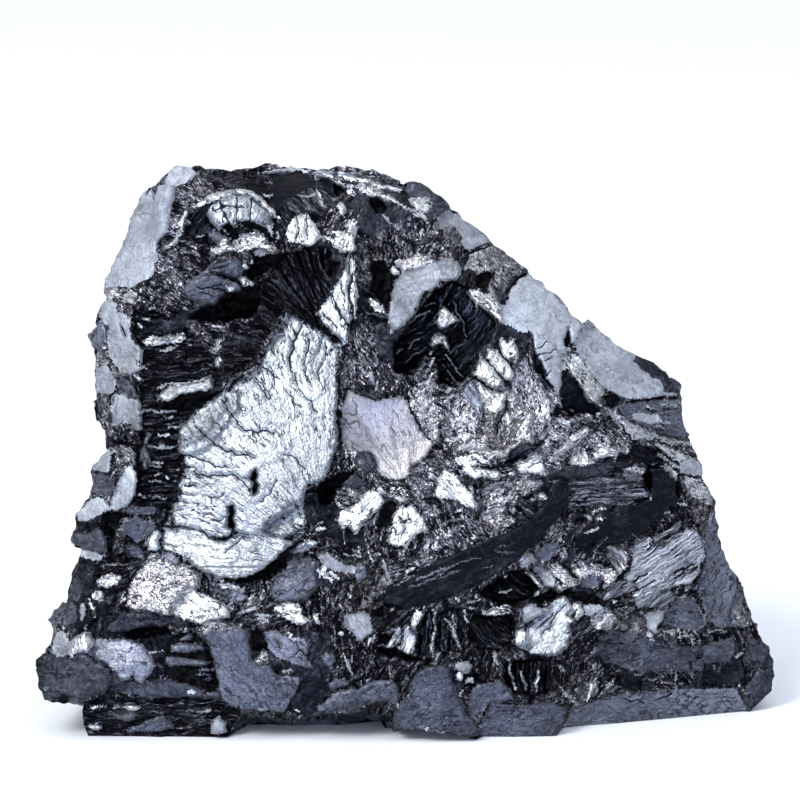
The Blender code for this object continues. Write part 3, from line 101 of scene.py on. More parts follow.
# Break faces, later ones lying over earlier ones. Each row gives name, finish, tone, sink, turn right, lean
# back and hollow, then the outline in tenths of a millimetre, s and t in turn.
# Tone is each face's own lightness with painted light and shade in it: faces that catch the light are
# lighter, hollows and overhung faces darker. The greyer overlays on the fan's upper left edge paint the shade
# where that edge turns grey. The dark band along the top above the dome paints its shadow. The black hollow
# under the wing and the foot beneath the overhanging lumps are painted dark for the shade there.
FACETS = """
left_shoulder frost .73 .4 -44 10 .4: -312 739 -320 700 -324 680 -336 661 -338 630 -350 613 -370 603 -390 604
 -416 600 -416 620 -386 668 -374 710 -352 744;
left_crown frost .84 0 -28 38 0: -326 764 -342 744 -312 738 -298 746 -286 758 -294 770 -312 770;
left_neck sugar .85 .6 -40 10 0: -410 602 -398 604 -362 598 -364 580 -380 582 -406 588;
left_cheek frost .63 0 -38 6 .5: -414 573 -406 586 -392 582 -390 570 -378 568 -372 558 -370 540 -366 529 -358
 522 -356 510 -358 494 -370 487 -386 489 -402 514 -404 534 -402 552 -412 562;
left_cheek_slot pit .05 1.6 -30 6 0: -387 553 -384 555 -379 548 -376 538 -378 535 -381 537;
left_knob slate .62 -.6 -42 0 -.4: -433 536 -430 547 -418 557 -408 560 -404 540 -410 524 -422 519;
left_plate frost .63 .3 -52 5 0: -420 496 -404 498 -394 484 -392 468 -398 460 -420 462;
left_slab_top slate .62 -.3 -34 4 .3: -389 470 -384 480 -378 483 -366 466 -362 456 -380 454 -389 462;
left_slab frost .56 -.5 -34 -4 .3: -392 460 -364 454 -357 446 -354 432 -358 414 -362 412 -374 422 -382 424
 -388
 416 -398 416;
left_mid frost .59 -.2 -44 6 0: -426 360 -416 372 -399 389 -398 370 -400 358 -410 356;
left_curls sugar .52 .2 -30 4 0: -397 391 -386 392 -370 388 -364 382 -363 366 -397 360 -395 376;
left_black pit .04 .9 -30 0 0: -396 397 -384 399 -364 394 -363 389 -376 392 -390 394;
left_low_dark slate .5 .2 -42 -6 .2: -428 354 -400 354 -393 344 -394 332 -400 326 -416 324 -428 332;
left_low_plate frost .8 -.6 -36 8 .2: -378 363 -372 363 -365 356 -364 334 -374 312 -388 306 -398 307 -398 314
 -394 322 -396 327 -379 356;
left_ear frost .76 -.4 -36 16 .2: -446 298 -426 319 -410 322 -403 316 -400 307 -428 290 -442 292;
left_column pit .02 2 -10 0 0: -406 302 -398 305 -384 302 -386 286 -395 264 -398 246 -405 254 -409 282;
left_fin slate .4 -1.2 -30 -14 .2: -454 262 -450 272 -408 278 -404 266 -402 248 -416 248;
left_fin_under frost .68 .4 -34 4 0: -439 253 -428 251 -406 244 -410 239 -426 240 -439 243;
left_glitter sugar .92 0 -20 10 0: -418 212 -404 219 -390 221 -384 214 -390 206 -398 201 -414 204;
slate_top slate .52 .2 -4 -20 0: -380 306 -370 310 -339 309 -336 302 -346 298 -376 302;
slate_steps slate .52 -.3 -4 -10 .3: -374 294 -360 294 -335 284 -340 276 -352 272 -358 262 -366 262 -376 272
 -388 274;
slate_step_low slate .46 .5 6 -4 .3: -378 260 -364 261 -354 252 -352 244 -356 240 -376 242 -380 250;
gully ribbed .06 2.4 4 2 .6: -356 480 -358 410 -360 360 -362 330 -374 314 -336 312 -318 304 -308 330 -304 360
 -302 412 -280 426 -264 448 -246 460 -254 500 -280 535 -300 556 -340 574 -366 574 -370 540 -358 520;
gully_rib_low silver .44 1 -14 4 0: -358 388 -350 408 -346 408 -350 386 -344 364 -354 360 -360 376;
shelf_high silver .85 1.2 -6 34 0: -358 529 -344 541 -330 538 -300 541 -299 535 -304 531 -320 531 -336 527
 -354
 527;
gleam_high silver .84 .8 -6 34 0: -364 559 -358 554 -352 551 -354 549 -360 550;
gleam_top silver .79 .6 -6 34 0: -358 563 -346 563 -341 560 -348 559;
neck_glint silver .85 0 -20 30 0: -378 587 -370 590 -362 584 -364 580 -372 581;
neck_glint_high silver .81 0 -20 30 0: -376 598 -362 589 -364 594 -372 600;
gully_plate glass .12 1.6 4 -18 0: -300 516 -314 509 -318 504 -308 502 -300 504;
gully_bead sugar .85 1.4 -4 8 -.4: -260 503 -256 512 -251 512 -249 504 -253 495 -258 496;
gully_bit silver .79 1.4 -4 8 0: -294 526 -289 529 -289 527 -293 524;
shelf_high_chip silver .84 1.4 -6 34 0: -336 518 -316 525 -306 527 -320 518;
shelf_low silver .82 .6 -8 34 0: -336 456 -322 471 -314 475 -286 476 -268 484 -263 481 -262 472 -268 468 -302
 461 -322 452;
shelf_low_tip silver .77 .6 -8 34 0: -338 466 -334 470 -324 475 -318 476 -328 468;
shelf_low_cave pit .02 3.6 8 -24 0: -344 450 -326 450 -308 456 -264 466 -260 450 -280 439 -320 441 -342 442;
cave_left glass .1 1.6 4 -18 0: -346 562 -330 564 -304 560 -300 543 -320 541 -342 543;
fan fan .6 -.3 -9 13 -.7: -163 573 -144 559 -112 540 -89 530 -88 512 -94 480 -95 440 -93 402 -102 370 -112 346
 -133 340 -139 320 -136 288 -154 276 -170 276 -200 270 -228 278 -240 270 -264 270 -284 280 -312 286 -316 312
 -306 322 -306 340 -297 358 -303 410 -286 416 -264 446 -242 454 -230 474 -214 482 -200 498 -179 540 -167 545
 -172 560;
fan_skirt fan .57 -1 -10 16 -.5: -329 252 -326 282 -302 285 -282 280 -266 268 -254 265 -240 267 -228 272 -200
 274 -170 270 -154 262 -160 250 -194 222 -214 214 -234 213 -252 216 -272 223 -306 247;
fan_pale fan .56 0 -9 13 -.1: -306 384 -290 378 -270 387 -254 403 -226 442 -224 466 -248 462 -274 444 -306
 416;
fan_fade fan .44 0 -9 13 -.1: -306 412 -280 428 -260 449 -246 458 -240 444 -272 403 -302 388;
fan_pale_low fan .58 -.6 -9 13 -.1: -196 276 -188 290 -150 316 -139 316 -136 284 -152 273 -170 268;
fan_fade_low fan .44 -.6 -9 13 -.1: -182 274 -172 286 -156 294 -143 304 -136 284 -152 273 -166 268;
fan_hole_high pit 0 .7 -9 13 .3: -209 356 -204 360 -200 352 -203 345 -199 339 -201 331 -208 325 -210 333 -207
 342 -211 348;
fan_hole_low pit 0 .7 -9 13 .3: -240 310 -234 313 -231 303 -234 294 -230 286 -233 277 -240 280 -242 292 -238
 300;
skirt_lobe fan .82 -.8 -12 14 -.2: -349 262 -346 270 -334 280 -331 273 -333 264 -330 255 -335 251 -346 253;
fan_foot sugar .8 -.8 -10 18 -.4: -377 180 -375 192 -354 234 -344 247 -334 249 -296 232 -285 224 -278 212 -277
 202 -290 198 -300 188 -304 176 -303 164 -314 163 -328 167 -374 174;
skirt_plate slate .62 -.6 -8 12 0: -330 243 -316 248 -305 243 -304 236 -312 232 -318 238;
fan_underline pit .02 2.6 0 -16 0: -252 213 -222 213 -202 222 -184 234 -162 254 -140 264 -168 229 -189 214
 -210
 207 -230 208;
fan_foot_bright silver .85 -1 -10 20 -.2: -316 174 -310 188 -290 202 -244 178 -236 170 -240 162 -254 160 -272
 152 -312 164;
under_white silver .81 .4 -8 20 0: -266 209 -240 207 -224 203 -228 199 -254 201;
under_plate slate .6 .2 0 10 .2: -266 200 -230 199 -212 190 -218 183 -238 182 -250 192;
dome_core glass .08 1.8 10 -6 .8: -299 698 -284 710 -266 717 -250 718 -244 700 -234 692 -224 674 -228 662 -244
 658 -284 664 -298 674;
dome_glint frost .35 1 6 4 0: -266 676 -254 679 -244 670 -240 662 -256 664;
dome fan .7 -.5 -8 17 -1: -270 704 -262 714 -236 728 -222 729 -206 726 -194 720 -184 710 -177 686 -179 674
 -194
 686 -206 691 -234 687 -244 690 -252 683 -262 689;
dome_arch pit .03 1.2 0 0 0: -235 689 -226 695 -202 691 -190 685 -182 674 -178 662 -185 664 -194 678 -204 681
 -216 681 -226 684 -230 666 -238 672;
dome_rim silver .82 -1 -10 22 -.3: -288 713 -262 730 -230 736 -214 735 -202 730 -171 698 -178 698 -205 725
 -216
 730 -230 730 -246 726 -284 710;
dome_lip sugar .92 -.2 -6 16 0: -237 662 -223 674 -204 681 -189 674 -175 652 -189 650 -208 657 -223 651 -232
 654;
dome_wedge silver .84 -.6 -10 20 0: -182 698 -179 683 -181 672 -188 683;
dome_teeth silver .84 0 -10 28 0: -266 655 -255 657 -247 673 -240 670 -237 660 -224 662 -222 655 -244 652 -256
 647;
dome_foot frost .5 .2 -4 0 0: -207 653 -196 656 -185 650 -196 645 -205 648;
white_patch silver .84 -.4 -10 18 -.2: -160 664 -161 681 -148 703 -132 702 -117 674 -124 662 -132 660 -141
 663;
v_patch silver .84 -.5 -8 20 0: -84 692 -68 696 -67 688 -72 664 -70 654 -76 650 -92 656 -114 672 -108 673 -99
 669 -93 672 -98 676 -106 677 -98 680 -86 679 -80 682;
slab_apron slate .16 .4 -2 -14 0: -338 546 -319 561 -295 573 -266 582 -237 594 -208 602 -200 589 -252 568 -276
 556 -304 551 -324 542;
slab_shelf slate .56 -1.2 -6 -14 -.5: -282 620 -254 636 -240 640 -228 640 -220 632 -219 622 -228 617 -270 617;
slab_shelf_low slate .54 -1.7 -6 -10 -.6: -299 599 -294 610 -280 618 -262 620 -230 612 -220 603 -226 598 -240
 598 -260 582 -272 581 -278 588 -286 587 -296 591;
shelf_feather silver .84 -1.4 -10 20 0: -227 616 -218 620 -214 614 -204 609 -208 605 -219 604;
shelf_spot silver .84 -1.9 -10 20 0: -247 605 -236 606 -231 601 -237 596;
shelf_beads silver .77 -1.2 -10 20 0: -223 635 -215 634 -212 628 -220 629;
shelf_crumbs sugar .9 -.6 -10 20 0: -233 597 -222 594 -212 602 -209 599 -219 589 -232 589;
slab_cave pit .02 4.4 6 -26 0: -294 562 -276 574 -256 582 -238 596 -198 610 -200 580 -206 564 -240 559 -270
 558;
cave_right pit .03 3.4 8 -20 0: -220 624 -204 642 -178 650 -162 648 -170 636 -210 614;
shelf_glint silver .84 -.8 -10 30 0: -212 637 -208 640 -205 637 -208 635;
dark_fan ribbed .1 1.8 16 4 .8: -162 648 -136 658 -106 660 -102 640 -110 620 -104 602 -122 580 -116 558 -90
 532
 -136 556 -162 576 -176 560 -188 534 -206 504 -230 486 -248 486 -250 520 -236 556 -204 560 -198 600;
key_hole pit .02 3 6 -20 0: -112 624 -106 644 -92 638 -96 626 -102 618;
tall_blade fan .74 -.5 -13 12 -.2: -78 646 -72 642 -69 634 -69 616 -74 566 -82 529 -100 543 -122 568 -96 605;
tall_blade_edge silver .81 -.9 -10 12 0: -70 630 -68 600 -68 564 -72 560 -72 576 -78 590;
top_strands striped .72 -.3 6 26 0: -124 766 -100 770 -60 767 -28 758 -4 746 0 739 -10 733 -44 728 -56 732 -74
 750 -96 749 -110 754 -124 750;
top_blade silver .84 -.5 4 24 0: -68 742 -62 744 -56 740 -48 742 -40 738 -22 722 -26 720 -56 731;
top_back frost .66 3 0 40 0: -216 766 -176 772 -154 772 -140 760 -172 756 -200 757;
top_brow ribbed .16 -.4 0 10 0: -260 766 -206 762 -180 748 -186 738 -220 740 -260 736 -268 750;
top_pit pit .03 2 0 -10 0: -100 742 -92 746 -82 742 -86 732 -94 726 -99 732;
top_pit_right pit .02 2.2 6 -10 0: -52 726 -42 727 -32 720 -28 712 -32 702 -44 704 -50 714;
top_chip silver .84 -.3 -8 20 0: -95 716 -88 720 -83 714 -82 702 -87 701 -92 708;
tooth silver .81 -.5 -4 22 0: 1 722 20 726 30 724 34 718 31 710 20 703;
crest slate .46 -.6 14 20 .2: 2 748 18 747 56 724 60 716 50 706 30 696 35 718 32 726 6 726 -2 734;
wing_hollow glass .05 5 10 4 1.6: 64 614 82 604 96 584 120 556 114 532 96 522 94 506 106 494 86 486 60 470 44
 476 38 510 26 514 4 486 -18 490 -18 524 12 568 32 596;
wing frost .5 -1.2 -12 8 -.6: -20 540 -24 554 -22 586 -16 612 -8 624 0 628 10 629 20 634 50 642 60 642 68 638
 70 626 66 616 54 613 44 614 34 600 22 597 6 564;
wing_cheek sugar .9 -1.4 -12 14 -.2: -16 638 20 647 30 646 36 640 34 637 10 629 -2 628 -8 624 -10 632;
wing_tuft silver .79 -1 -12 14 0: -26 624 -20 634 -14 630 -10 622 -16 619;
eye silver .82 .4 -8 14 -.2: 38 558 45 575 49 580 70 560 48 549 42 552;
wing_side_cave pit .03 2.8 10 0 0: -46 638 -32 640 -22 626 -22 600 -28 576 -48 600;
leaf silver .82 .2 -16 10 -.2: -52 589 -42 586 -29 573 -32 570 -40 570 -46 574;
wing_stem sugar .7 .2 -6 4 -.2: 32 528 36 538 44 543 52 538 57 526 56 518 44 530 38 522;
stem_arc silver .75 .1 -6 4 0: 46 538 52 534 56 526 56 518 52 522 48 532;
slope_upper frost .52 .2 28 28 .2: 40 696 50 706 62 713 76 702 116 668 104 664 92 656 80 654 74 664 72 676 62
 686 42 682;
slope_mid sugar .62 .2 28 28 .2: 78 652 92 654 104 662 122 664 162 632 166 623 142 612 136 602 126 602 116 610
 118 624 108 626 94 616 90 624 82 628 76 620 74 634 82 642;
slope_pit pit .04 1.8 10 0 0: 92 622 102 626 116 624 116 616 110 606 100 602 92 606;
slope_band slate .34 0 28 20 0: 136 610 142 620 160 623 165 620 150 615 141 605;
slope_ledge silver .74 -.5 -2 24 0: 80 600 90 602 112 592 130 576 126 558 102 578 94 580;
slope_face frost .8 -.4 31 27 -.4: 144 606 156 617 168 623 186 612 220 581 224 570 242 559 226 536 220 520 209
 510 207 472 203 460 188 486 174 520 169 540 164 546 152 544 140 552 126 556 126 572;
slope_seam ribbed .08 1 24 10 0: 165 541 168 541 180 500 188 484 200 468 194 463 173 494 168 508;
streak silver .77 -.3 2 18 0: 206 516 216 519 226 515 234 508 242 496 258 480 264 468 264 460 254 451 246 451
 222 489 216 494 209 490 206 502;
notch slate .1 2.6 22 -12 .4: 208 482 215 492 219 492 240 458 260 438 254 430 246 436 224 430 216 434 210 442;
notch_eye pit .02 1 0 0 0: 196 440 200 446 206 445 211 440 209 433 202 431 197 434;
notch_fleck silver .84 1.4 10 0 0: 218 441 223 440 226 436 222 437;
under_notch silver .72 -.1 6 12 0: 197 423 203 428 219 427 220 410 214 413 210 420;
under_notch_left silver .76 -.1 6 12 0: 186 426 192 430 194 424 189 422;
slope_wen frost .66 -1 30 30 -.3: 239 555 244 566 258 562 263 548 252 546;
slope_tail frost .7 -.4 34 29 -.5: 242 555 258 548 300 523 338 506 376 479 375 460 330 456 300 454 260 472 230
 516 226 532;
tail_tip slate .36 .4 38 20 .2: 334 507 376 479 375 460 350 462 346 476 328 486 304 504 310 518;
slope_slit pit .08 1.6 0 0 0: 218 552 222 536 222 524 214 522 210 532;
notch_small slate .15 1.4 20 -10 0: 264 458 278 463 294 452 278 442 269 446;
flank_upper slate .66 .6 34 2 .2: 286 442 296 454 310 452 374 453 378 430 387 402 364 402 340 408 292 432;
flank_sheen frost .74 .4 30 4 0: 302 433 314 436 326 432 336 434 344 428 342 420 328 420 304 428;
flank_bright silver .81 -.4 20 14 0: 286 424 294 426 334 406 337 402 328 400 312 401 304 398 299 402;
flank_strand silver .67 0 26 10 0: 340 402 350 404 372 398 382 398 385 392 364 393 356 390;
flank_wing silver .77 -.4 22 12 0: 332 397 384 375 390 370 364 370 346 380 334 392;
flank_tail silver .74 -.2 20 10 0: 337 383 368 364 370 360 362 362 354 369 344 373;
flank_plate frost .66 -.4 30 6 .2: 368 366 376 372 388 374 399 368 403 352 388 350 368 356;
flank_low sugar .8 0 34 4 0: 374 348 398 347 406 340 419 322 420 306 386 320 380 328;
flank_fleck silver .84 -.3 30 8 0: 389 326 398 331 408 328 413 323 404 322 396 322;
bar silver .84 -.8 -4 22 0: 191 371 200 383 238 417 244 416 246 410 200 372 196 369;
comb silver .81 -.2 -4 20 0: 220 369 224 389 235 394 247 372 254 368 252 366 226 364;
comb_teeth silver .86 -.5 -4 22 0: 242 399 249 394 254 386 258 400 267 388 270 396 275 389 283 386 285 379 254
 373;
cloth sugar .84 .2 6 12 0: 264 419 270 416 282 402 294 398 302 392 300 382 290 380 285 386 284 398 268 410;
cloth_high sugar .84 .2 16 12 0: 264 448 274 440 284 438 302 405 288 414 280 426 270 432;
cleft slate .1 1.4 16 -8 0: 302 380 304 390 310 394 324 390 332 384 344 369 330 366 304 369;
cleft_tuft silver .65 0 10 10 0: 310 400 318 400 328 395 324 392 314 396;
ripples ribbed .5 .4 4 4 0: 208 342 240 348 280 354 296 342 314 344 324 336 326 322 300 312 284 309 268 310
 224
 302 214 310 222 324;
ripple_leaf slate .66 0 4 10 0: 292 341 298 348 308 353 320 352 314 346 304 342;
blade_thin slate .2 -.9 18 -14 0: 187 350 206 360 260 368 304 366 280 356 260 351 220 346 190 343;
corner_pit pit .02 2.6 12 -10 0: 320 350 330 364 342 362 356 344 362 340 366 332 362 320 348 316 334 318;
corner_lip silver .74 -.2 14 14 0: 346 367 354 365 367 351 362 344 358 342 349 355;
shell shell .73 0 -5 9 .9: -80 468 -44 452 -8 460 18 418 36 394 28 380 16 369 6 365 2 352 -8 346 -28 349 -40
 354 -50 374 -66 384 -80 384 -89 402 -89 440;
shell_knob slate .5 -.6 6 14 -.6: -69 370 -62 382 -49 382 -40 364 -52 356 -64 362;
shell_side matrix .34 .8 10 6 0: -86 508 -76 514 -68 496 -66 476 -88 466 -92 480;
shell_wing sugar .72 .3 4 8 0: 4 469 36 484 36 448 43 424 42 404 36 399 12 432 2 452;
sugar_right sugar .86 .2 6 10 .4: 142 484 156 514 162 520 164 500 190 454 192 444 190 426 184 414 174 406 146
 394 138 400 139 420 134 460 140 470;
sugar_left sugar .86 0 -4 10 .2: 59 443 68 446 76 442 84 442 102 424 104 412 98 400 86 404 74 403 59 422;
sugar_low sugar .74 .2 -4 8 0: 49 418 58 414 68 405 98 398 104 388 128 382 126 372 110 374 98 384 68 386 56
 392
 50 404;
heart_halo sugar .92 -.1 -4 12 0: 52 424 66 466 84 462 96 478 112 466 128 474 146 460 150 444 170 434 164 416
 170 396 152 386 144 374 124 376 108 372 90 388 76 388 66 408;
fan_small striped .84 -.1 -6 10 .3: 74 464 80 476 90 476 116 424 112 414 104 420;
fan_heart sugar .4 -.1 -2 12 .1: 100 446 110 436 118 460 126 436 136 452 139 426 154 428 146 408 152 396 130
 383 120 388 108 388 108 402 96 408;
block_foot silver .81 -.3 -8 16 0: 93 477 124 462 132 465 137 462 130 448 130 443 122 438 118 430 114 432 94
 470;
foot_leaf silver .76 -.1 -4 14 0: 134 439 138 436 139 424 136 417 129 421 126 427;
block_high silver .79 -.4 -8 18 0: 124 532 127 539 136 527 138 533 142 535 149 518 147 508 143 502 130 511 125
 519;
block_mid silver .81 -.6 -8 20 0: 105 522 112 520 119 522 140 496 143 488 142 480 132 479 105 509 107 516;
block_low silver .84 -.7 -10 19 0: 96 507 103 508 130 480 127 474 113 469 88 489;
block_fringe ribbed .5 .2 -10 19 0: 82 498 91 502 95 496 91 489 86 492;
lens_rim slate .34 1 0 -8 .4: 132 364 133 376 139 386 152 394 180 397 182 384 176 381 162 380 152 375 138 360;
lens silver .86 -.5 -8 18 -.2: 141 362 146 368 162 378 172 380 178 378 188 354 186 350 172 354 152 355;
lens_leg silver .84 -.5 -8 18 0: 184 369 196 364 209 361 200 360 192 362 187 365;
tongue_high silver .86 -.7 -8 20 0: 63 372 70 376 78 376 84 380 96 382 124 354 123 346 116 346 100 352 90 348
 75 357 77 362 74 366 68 367;
tongue_low silver .85 -.7 -8 20 0: 46 358 54 359 62 354 76 337 89 326 93 312 90 307 84 312 76 311 68 318 44
 322
 36 326;
tongue_fleck silver .84 -.3 -8 20 0: 62 303 72 309 76 306 68 302;
centre_sugar sugar .66 0 -2 10 0: 96 336 108 344 150 348 186 340 164 326 152 324 146 314 130 312 126 300 140
 298 148 290 142 283 126 278 104 282 96 296 102 310;
chip_round silver .84 -.4 -6 16 0: 137 308 142 310 147 306 145 301 140 303;
chip_bird silver .84 -.5 -6 18 0: 160 319 168 323 174 323 183 331 189 321 195 322 193 317 184 319 166 317;
chip_feather silver .81 -.5 -6 18 0: 178 310 183 314 185 308 179 293 171 294 176 302;
chip_left silver .84 -.6 -9 18 0: -94 291 -89 305 -70 310 -62 318 -60 324 -52 330 -43 331 -33 324 -30 319 -33
 312 -60 289 -62 282 -70 272 -78 286 -84 281;
chip_right silver .85 -.6 -9 18 0: -8 315 -2 309 3 313 19 298 26 282 26 275 16 275 10 272 0 255 -8 259 -18 258
 -28 262 -24 270 -18 274 -27 278 -16 289 -19 294;
chip_gap pit .03 1.8 0 0 0: -33 314 -24 319 -16 318 -15 304 -21 294 -20 288 -30 282 -42 284;
chip_top silver .79 -.4 -6 18 0: -17 322 -9 325 -3 318 -9 316;
shell_cave pit .02 3.6 0 -20 0: -110 344 -86 356 -68 360 -78 344 -96 330 -98 316 -118 314 -124 330;
cave_mirror slate .3 .8 10 -4 0: -90 339 -72 356 -60 346 -48 342 -50 334 -80 335;
blade_long slate .03 -1 12 -12 -.4: -32 182 -25 202 20 226 80 254 130 272 160 288 186 315 203 344 216 343 216
 315 200 290 175 265 146 240 120 220 80 195 40 180 0 172;
blade_short slate .02 -1.2 18 -14 -.4: 226 260 234 270 268 294 294 308 324 320 332 334 330 358 344 362 362 340
 364 316 330 286 312 268 286 260 254 250 234 248;
striped_slab striped .98 -.6 6 10 0: 306 260 304 232 298 220 290 212 314 203 304 193 306 182 312 172 330 180
 336 190 344 197 382 206 392 216 397 234 403 242 402 254 392 274 384 277 360 268 334 253 328 256 330 266 322
 269;
slab_light striped .88 -.8 2 14 0: 306 190 314 196 340 201 332 190 324 184 312 182;
slab_upper striped .66 -.2 6 10 0: 330 268 346 274 373 290 366 279 348 268 334 260;
slab_leaf striped .66 -.2 0 12 0: 257 183 280 208 289 211 312 203 304 195 272 183;
toe_sheet striped .62 .2 8 6 0: 314 172 324 170 346 172 364 186 356 196 346 197;
toe_leaf frost .66 0 4 10 0: 318 164 350 169 334 141 326 141 322 148 326 152;
toe_rubble slate .5 .3 12 2 0: 342 146 352 168 364 182 380 188 394 176 402 162 406 148 394 141;
toe_white silver .85 -.4 0 20 0: 322 137 326 139 333 136 332 132 326 131;
toe_bead silver .85 -.4 0 20 0: 277 181 281 184 284 184 282 179 278 178;
toe_knot silver .76 -.3 4 18 0: 345 142 354 143 363 143 364 138 358 133 353 138;
toe_chip silver .72 -.3 4 18 0: 365 185 378 191 378 187 372 185;
flank_dark slate .62 .2 30 2 -.4: 402 286 422 298 434 242 457 208 473 154 454 142 420 144 406 160 394 196 404
 234;
flank_knob sugar .52 -.6 26 8 0: 446 150 442 168 454 174 468 164 468 148 454 144;
arc_plate ringed .55 .4 6 8 .5: 266 256 294 260 298 244 296 226 286 216 266 244;
crust_slate slate .55 0 6 -6 0: 172 250 188 260 200 259 204 252 200 244 190 237 176 236 170 242;
crust_box striped .84 -.4 -6 12 0: 150 236 152 228 157 227 172 238 169 242 152 240;
crust_twig silver .7 -.4 -6 12 0: 158 246 164 249 170 246 166 244;
crust_chip silver .81 -.3 -6 18 0: 200 266 204 269 210 265 217 263 210 262 204 263;
crust_high silver .76 -.2 -4 14 0: 204 245 214 252 216 248 215 241 210 239;
crust_brown slate .18 .6 6 0 0: 217 254 226 254 229 244 226 235 218 235 216 244;
crust_left sugar .95 -.2 -6 14 0: 184 228 190 235 202 234 219 221 221 214 228 210 234 212 232 204 202 195 201
 212;
crust_plate slate .58 .4 0 6 0: 234 210 244 216 260 216 262 202 248 198 234 200;
crust_right sugar .94 -.1 -4 18 0: 218 228 232 237 260 231 282 218 274 204 268 200 261 217 246 217 234 212 223
 220;
bowl_upper glass .03 3 -6 -10 1.4: 96 192 104 200 140 223 158 223 166 216 177 200 162 184 150 179 130 179 116
 182;
bowl_rim frost .56 .6 -20 8 .3: 159 222 180 232 199 212 199 203 192 201 182 201;
bowl_shine silver .84 .2 -20 14 0: 159 220 166 219 172 213 181 201 178 200 166 215;
bowl_band ribbed .1 .7 -20 8 0: 164 224 169 225 176 218 184 206 181 205 173 216;
bowl_tip frost .62 .4 -14 8 0: 168 187 173 194 178 199 179 192 175 189;
crevice pit .02 2.6 0 -20 0: 192 197 202 194 238 197 244 190 258 189 262 182 240 178 224 184 220 190 206 189
 192 182 176 180 166 183;
bright_shell fan .56 -.6 -11 12 .4: 142 122 146 134 145 144 152 154 153 178 168 182 174 176 182 174 188 176
 200
 187 212 188 224 174 228 181 236 178 237 166 232 159 218 152 220 138 214 120 200 109 160 114;
shell_shadow frost .52 -.6 -11 12 0: 154 172 162 179 168 180 174 174 182 172 184 166 176 160 155 154;
shell_peak silver .85 -.8 -11 16 0: 214 164 228 180 236 177 237 166 231 159 222 158;
shell_corner silver .85 -.8 -11 16 0: 143 126 147 136 147 143 154 147 160 140 158 129 152 122;
shell_stripes ribbed .42 .2 -40 6 0: 142 178 153 178 154 164 152 154 144 142 146 168;
shell_bit silver .81 -.8 -11 16 0: 184 172 188 174 190 170 186 168;
shell_ledge frost .72 -.2 4 14 0: 238 175 260 178 264 170 250 164 240 162;
crumb_right sugar .84 .2 0 12 0: 246 150 250 160 260 170 270 172 278 166 280 154 274 144 260 142 250 144;
bowl_lower glass .03 2.6 -8 -6 1.2: 82 154 88 164 136 163 144 150 140 126 126 116 94 118 82 136;
sliver_top silver .86 .2 -6 36 0: 86 169 102 173 110 170 114 175 136 173 137 168 119 163;
curl_wing striped .7 -.2 -12 10 0: -36 139 -28 143 -20 147 -15 149 -14 144 -22 141;
curl striped .92 -.4 -12 10 .2: -29 122 -22 130 -14 149 -8 149 -7 142 -10 132 -18 122;
curl_right striped .88 -.5 -12 10 .2: -5 149 2 151 4 142 12 136 12 128 8 118 2 112 -13 120 -6 130 -3 140;
curl_tip silver .86 -.4 -10 20 0: 4 154 6 162 12 170 18 171 22 166 13 150 9 148;
curl_hole pit .02 2 0 0 0: -39 138 -24 139 -20 134 -28 124 -40 126;
curl_crack pit .02 2.2 0 -16 0: -44 122 -30 122 20 106 22 103 4 102 -36 112;
column_hole glass .03 2 8 0 .3: 13 112 14 134 23 168 32 171 35 164 36 150 30 112;
column_rim silver .72 .4 -6 10 0: 21 171 37 175 40 150 35 122 35 108 33 108 37 152 36 166 32 170;
post_field ribbed .1 1.2 0 0 .2: 38 114 40 168 76 174 78 140 80 118;
colonnade ribbed .08 1.4 -4 -6 .4: 132 100 180 106 226 102 218 76 200 60 164 54 140 62 130 80;
blue_rock slate .4 -.2 -4 10 -.3: -184 196 -176 212 -154 238 -128 242 -122 220 -120 200 -136 184 -178 182;
blue_rock_crumbs silver .82 -.2 -8 18 0: -180 172 -176 178 -162 182 -148 182 -142 174 -140 162 -130 160 -134
 154 -146 151 -164 162 -174 164;
crumb_east silver .79 -.2 -8 18 0: -126 166 -120 168 -118 158 -112 153 -124 154;
crumb_west silver .81 -.2 -8 18 0: -202 162 -192 162 -184 156 -186 151 -196 154;
crumb_north silver .84 -.2 -8 18 0: -199 190 -192 192 -192 184 -197 183;
crumb_south silver .77 -.2 -8 18 0: -186 142 -176 144 -171 140 -180 138;
crumb_mid silver .76 -.2 -8 18 0: -93 141 -84 143 -83 138 -90 137;
grey_strip slate .66 -.2 0 8 0: -156 248 -146 260 -130 265 -118 262 -126 255 -140 250;
grey_tongue frost .62 0 0 8 0: -118 244 -104 246 -84 232 -70 231 -68 226 -74 220 -100 224 -110 228 -116 234;
grey_pebble slate .56 -.3 0 8 0: -72 218 -68 226 -60 232 -54 226 -56 214 -66 210;
pebble frost .6 -.7 -2 12 -.4: -83 156 -82 162 -66 168 -56 168 -50 162 -46 148 -48 142 -64 130 -72 144 -80
 148;
pebble_small slate .46 -.4 0 0 0: -114 108 -108 113 -100 113 -94 106 -97 99 -104 95 -112 99;
grey_plate slate .66 -.6 -4 4 0: -194 140 -184 144 -156 134 -146 136 -134 134 -130 124 -136 110 -128 102 -126
 96 -132 94 -178 110;
plate_column pit .04 1.4 0 0 0: -208 144 -202 146 -193 138 -188 126 -189 116 -202 116 -209 120;
plate_frill sugar .9 -.6 -6 14 0: -211 103 -196 114 -192 120 -186 112 -187 102 -196 99;
left_rib frost .66 -.6 -30 8 0: -439 174 -436 182 -432 180 -431 170 -432 162 -436 156;
left_wall slate .4 .2 -30 0 .2: -456 186 -452 204 -446 216 -438 212 -436 198 -439 186 -448 183;
left_glint silver .7 0 -20 10 0: -424 190 -414 198 -407 197 -405 188 -410 182 -418 184;
ear_block slate .42 0 -28 6 0: -480 156 -468 176 -460 181 -452 182 -444 176 -440 162 -446 152 -456 150 -475
 152;
brow_left slate .56 -.8 -3 -4 -.5: -280 146 -272 154 -254 158 -236 154 -226 146 -216 142 -209 116 -210 106
 -200
 99 -184 96 -176 86 -140 80 -142 74 -152 62 -162 38 -176 32 -218 34 -228 46 -246 44 -250 60 -259 104 -266 124;
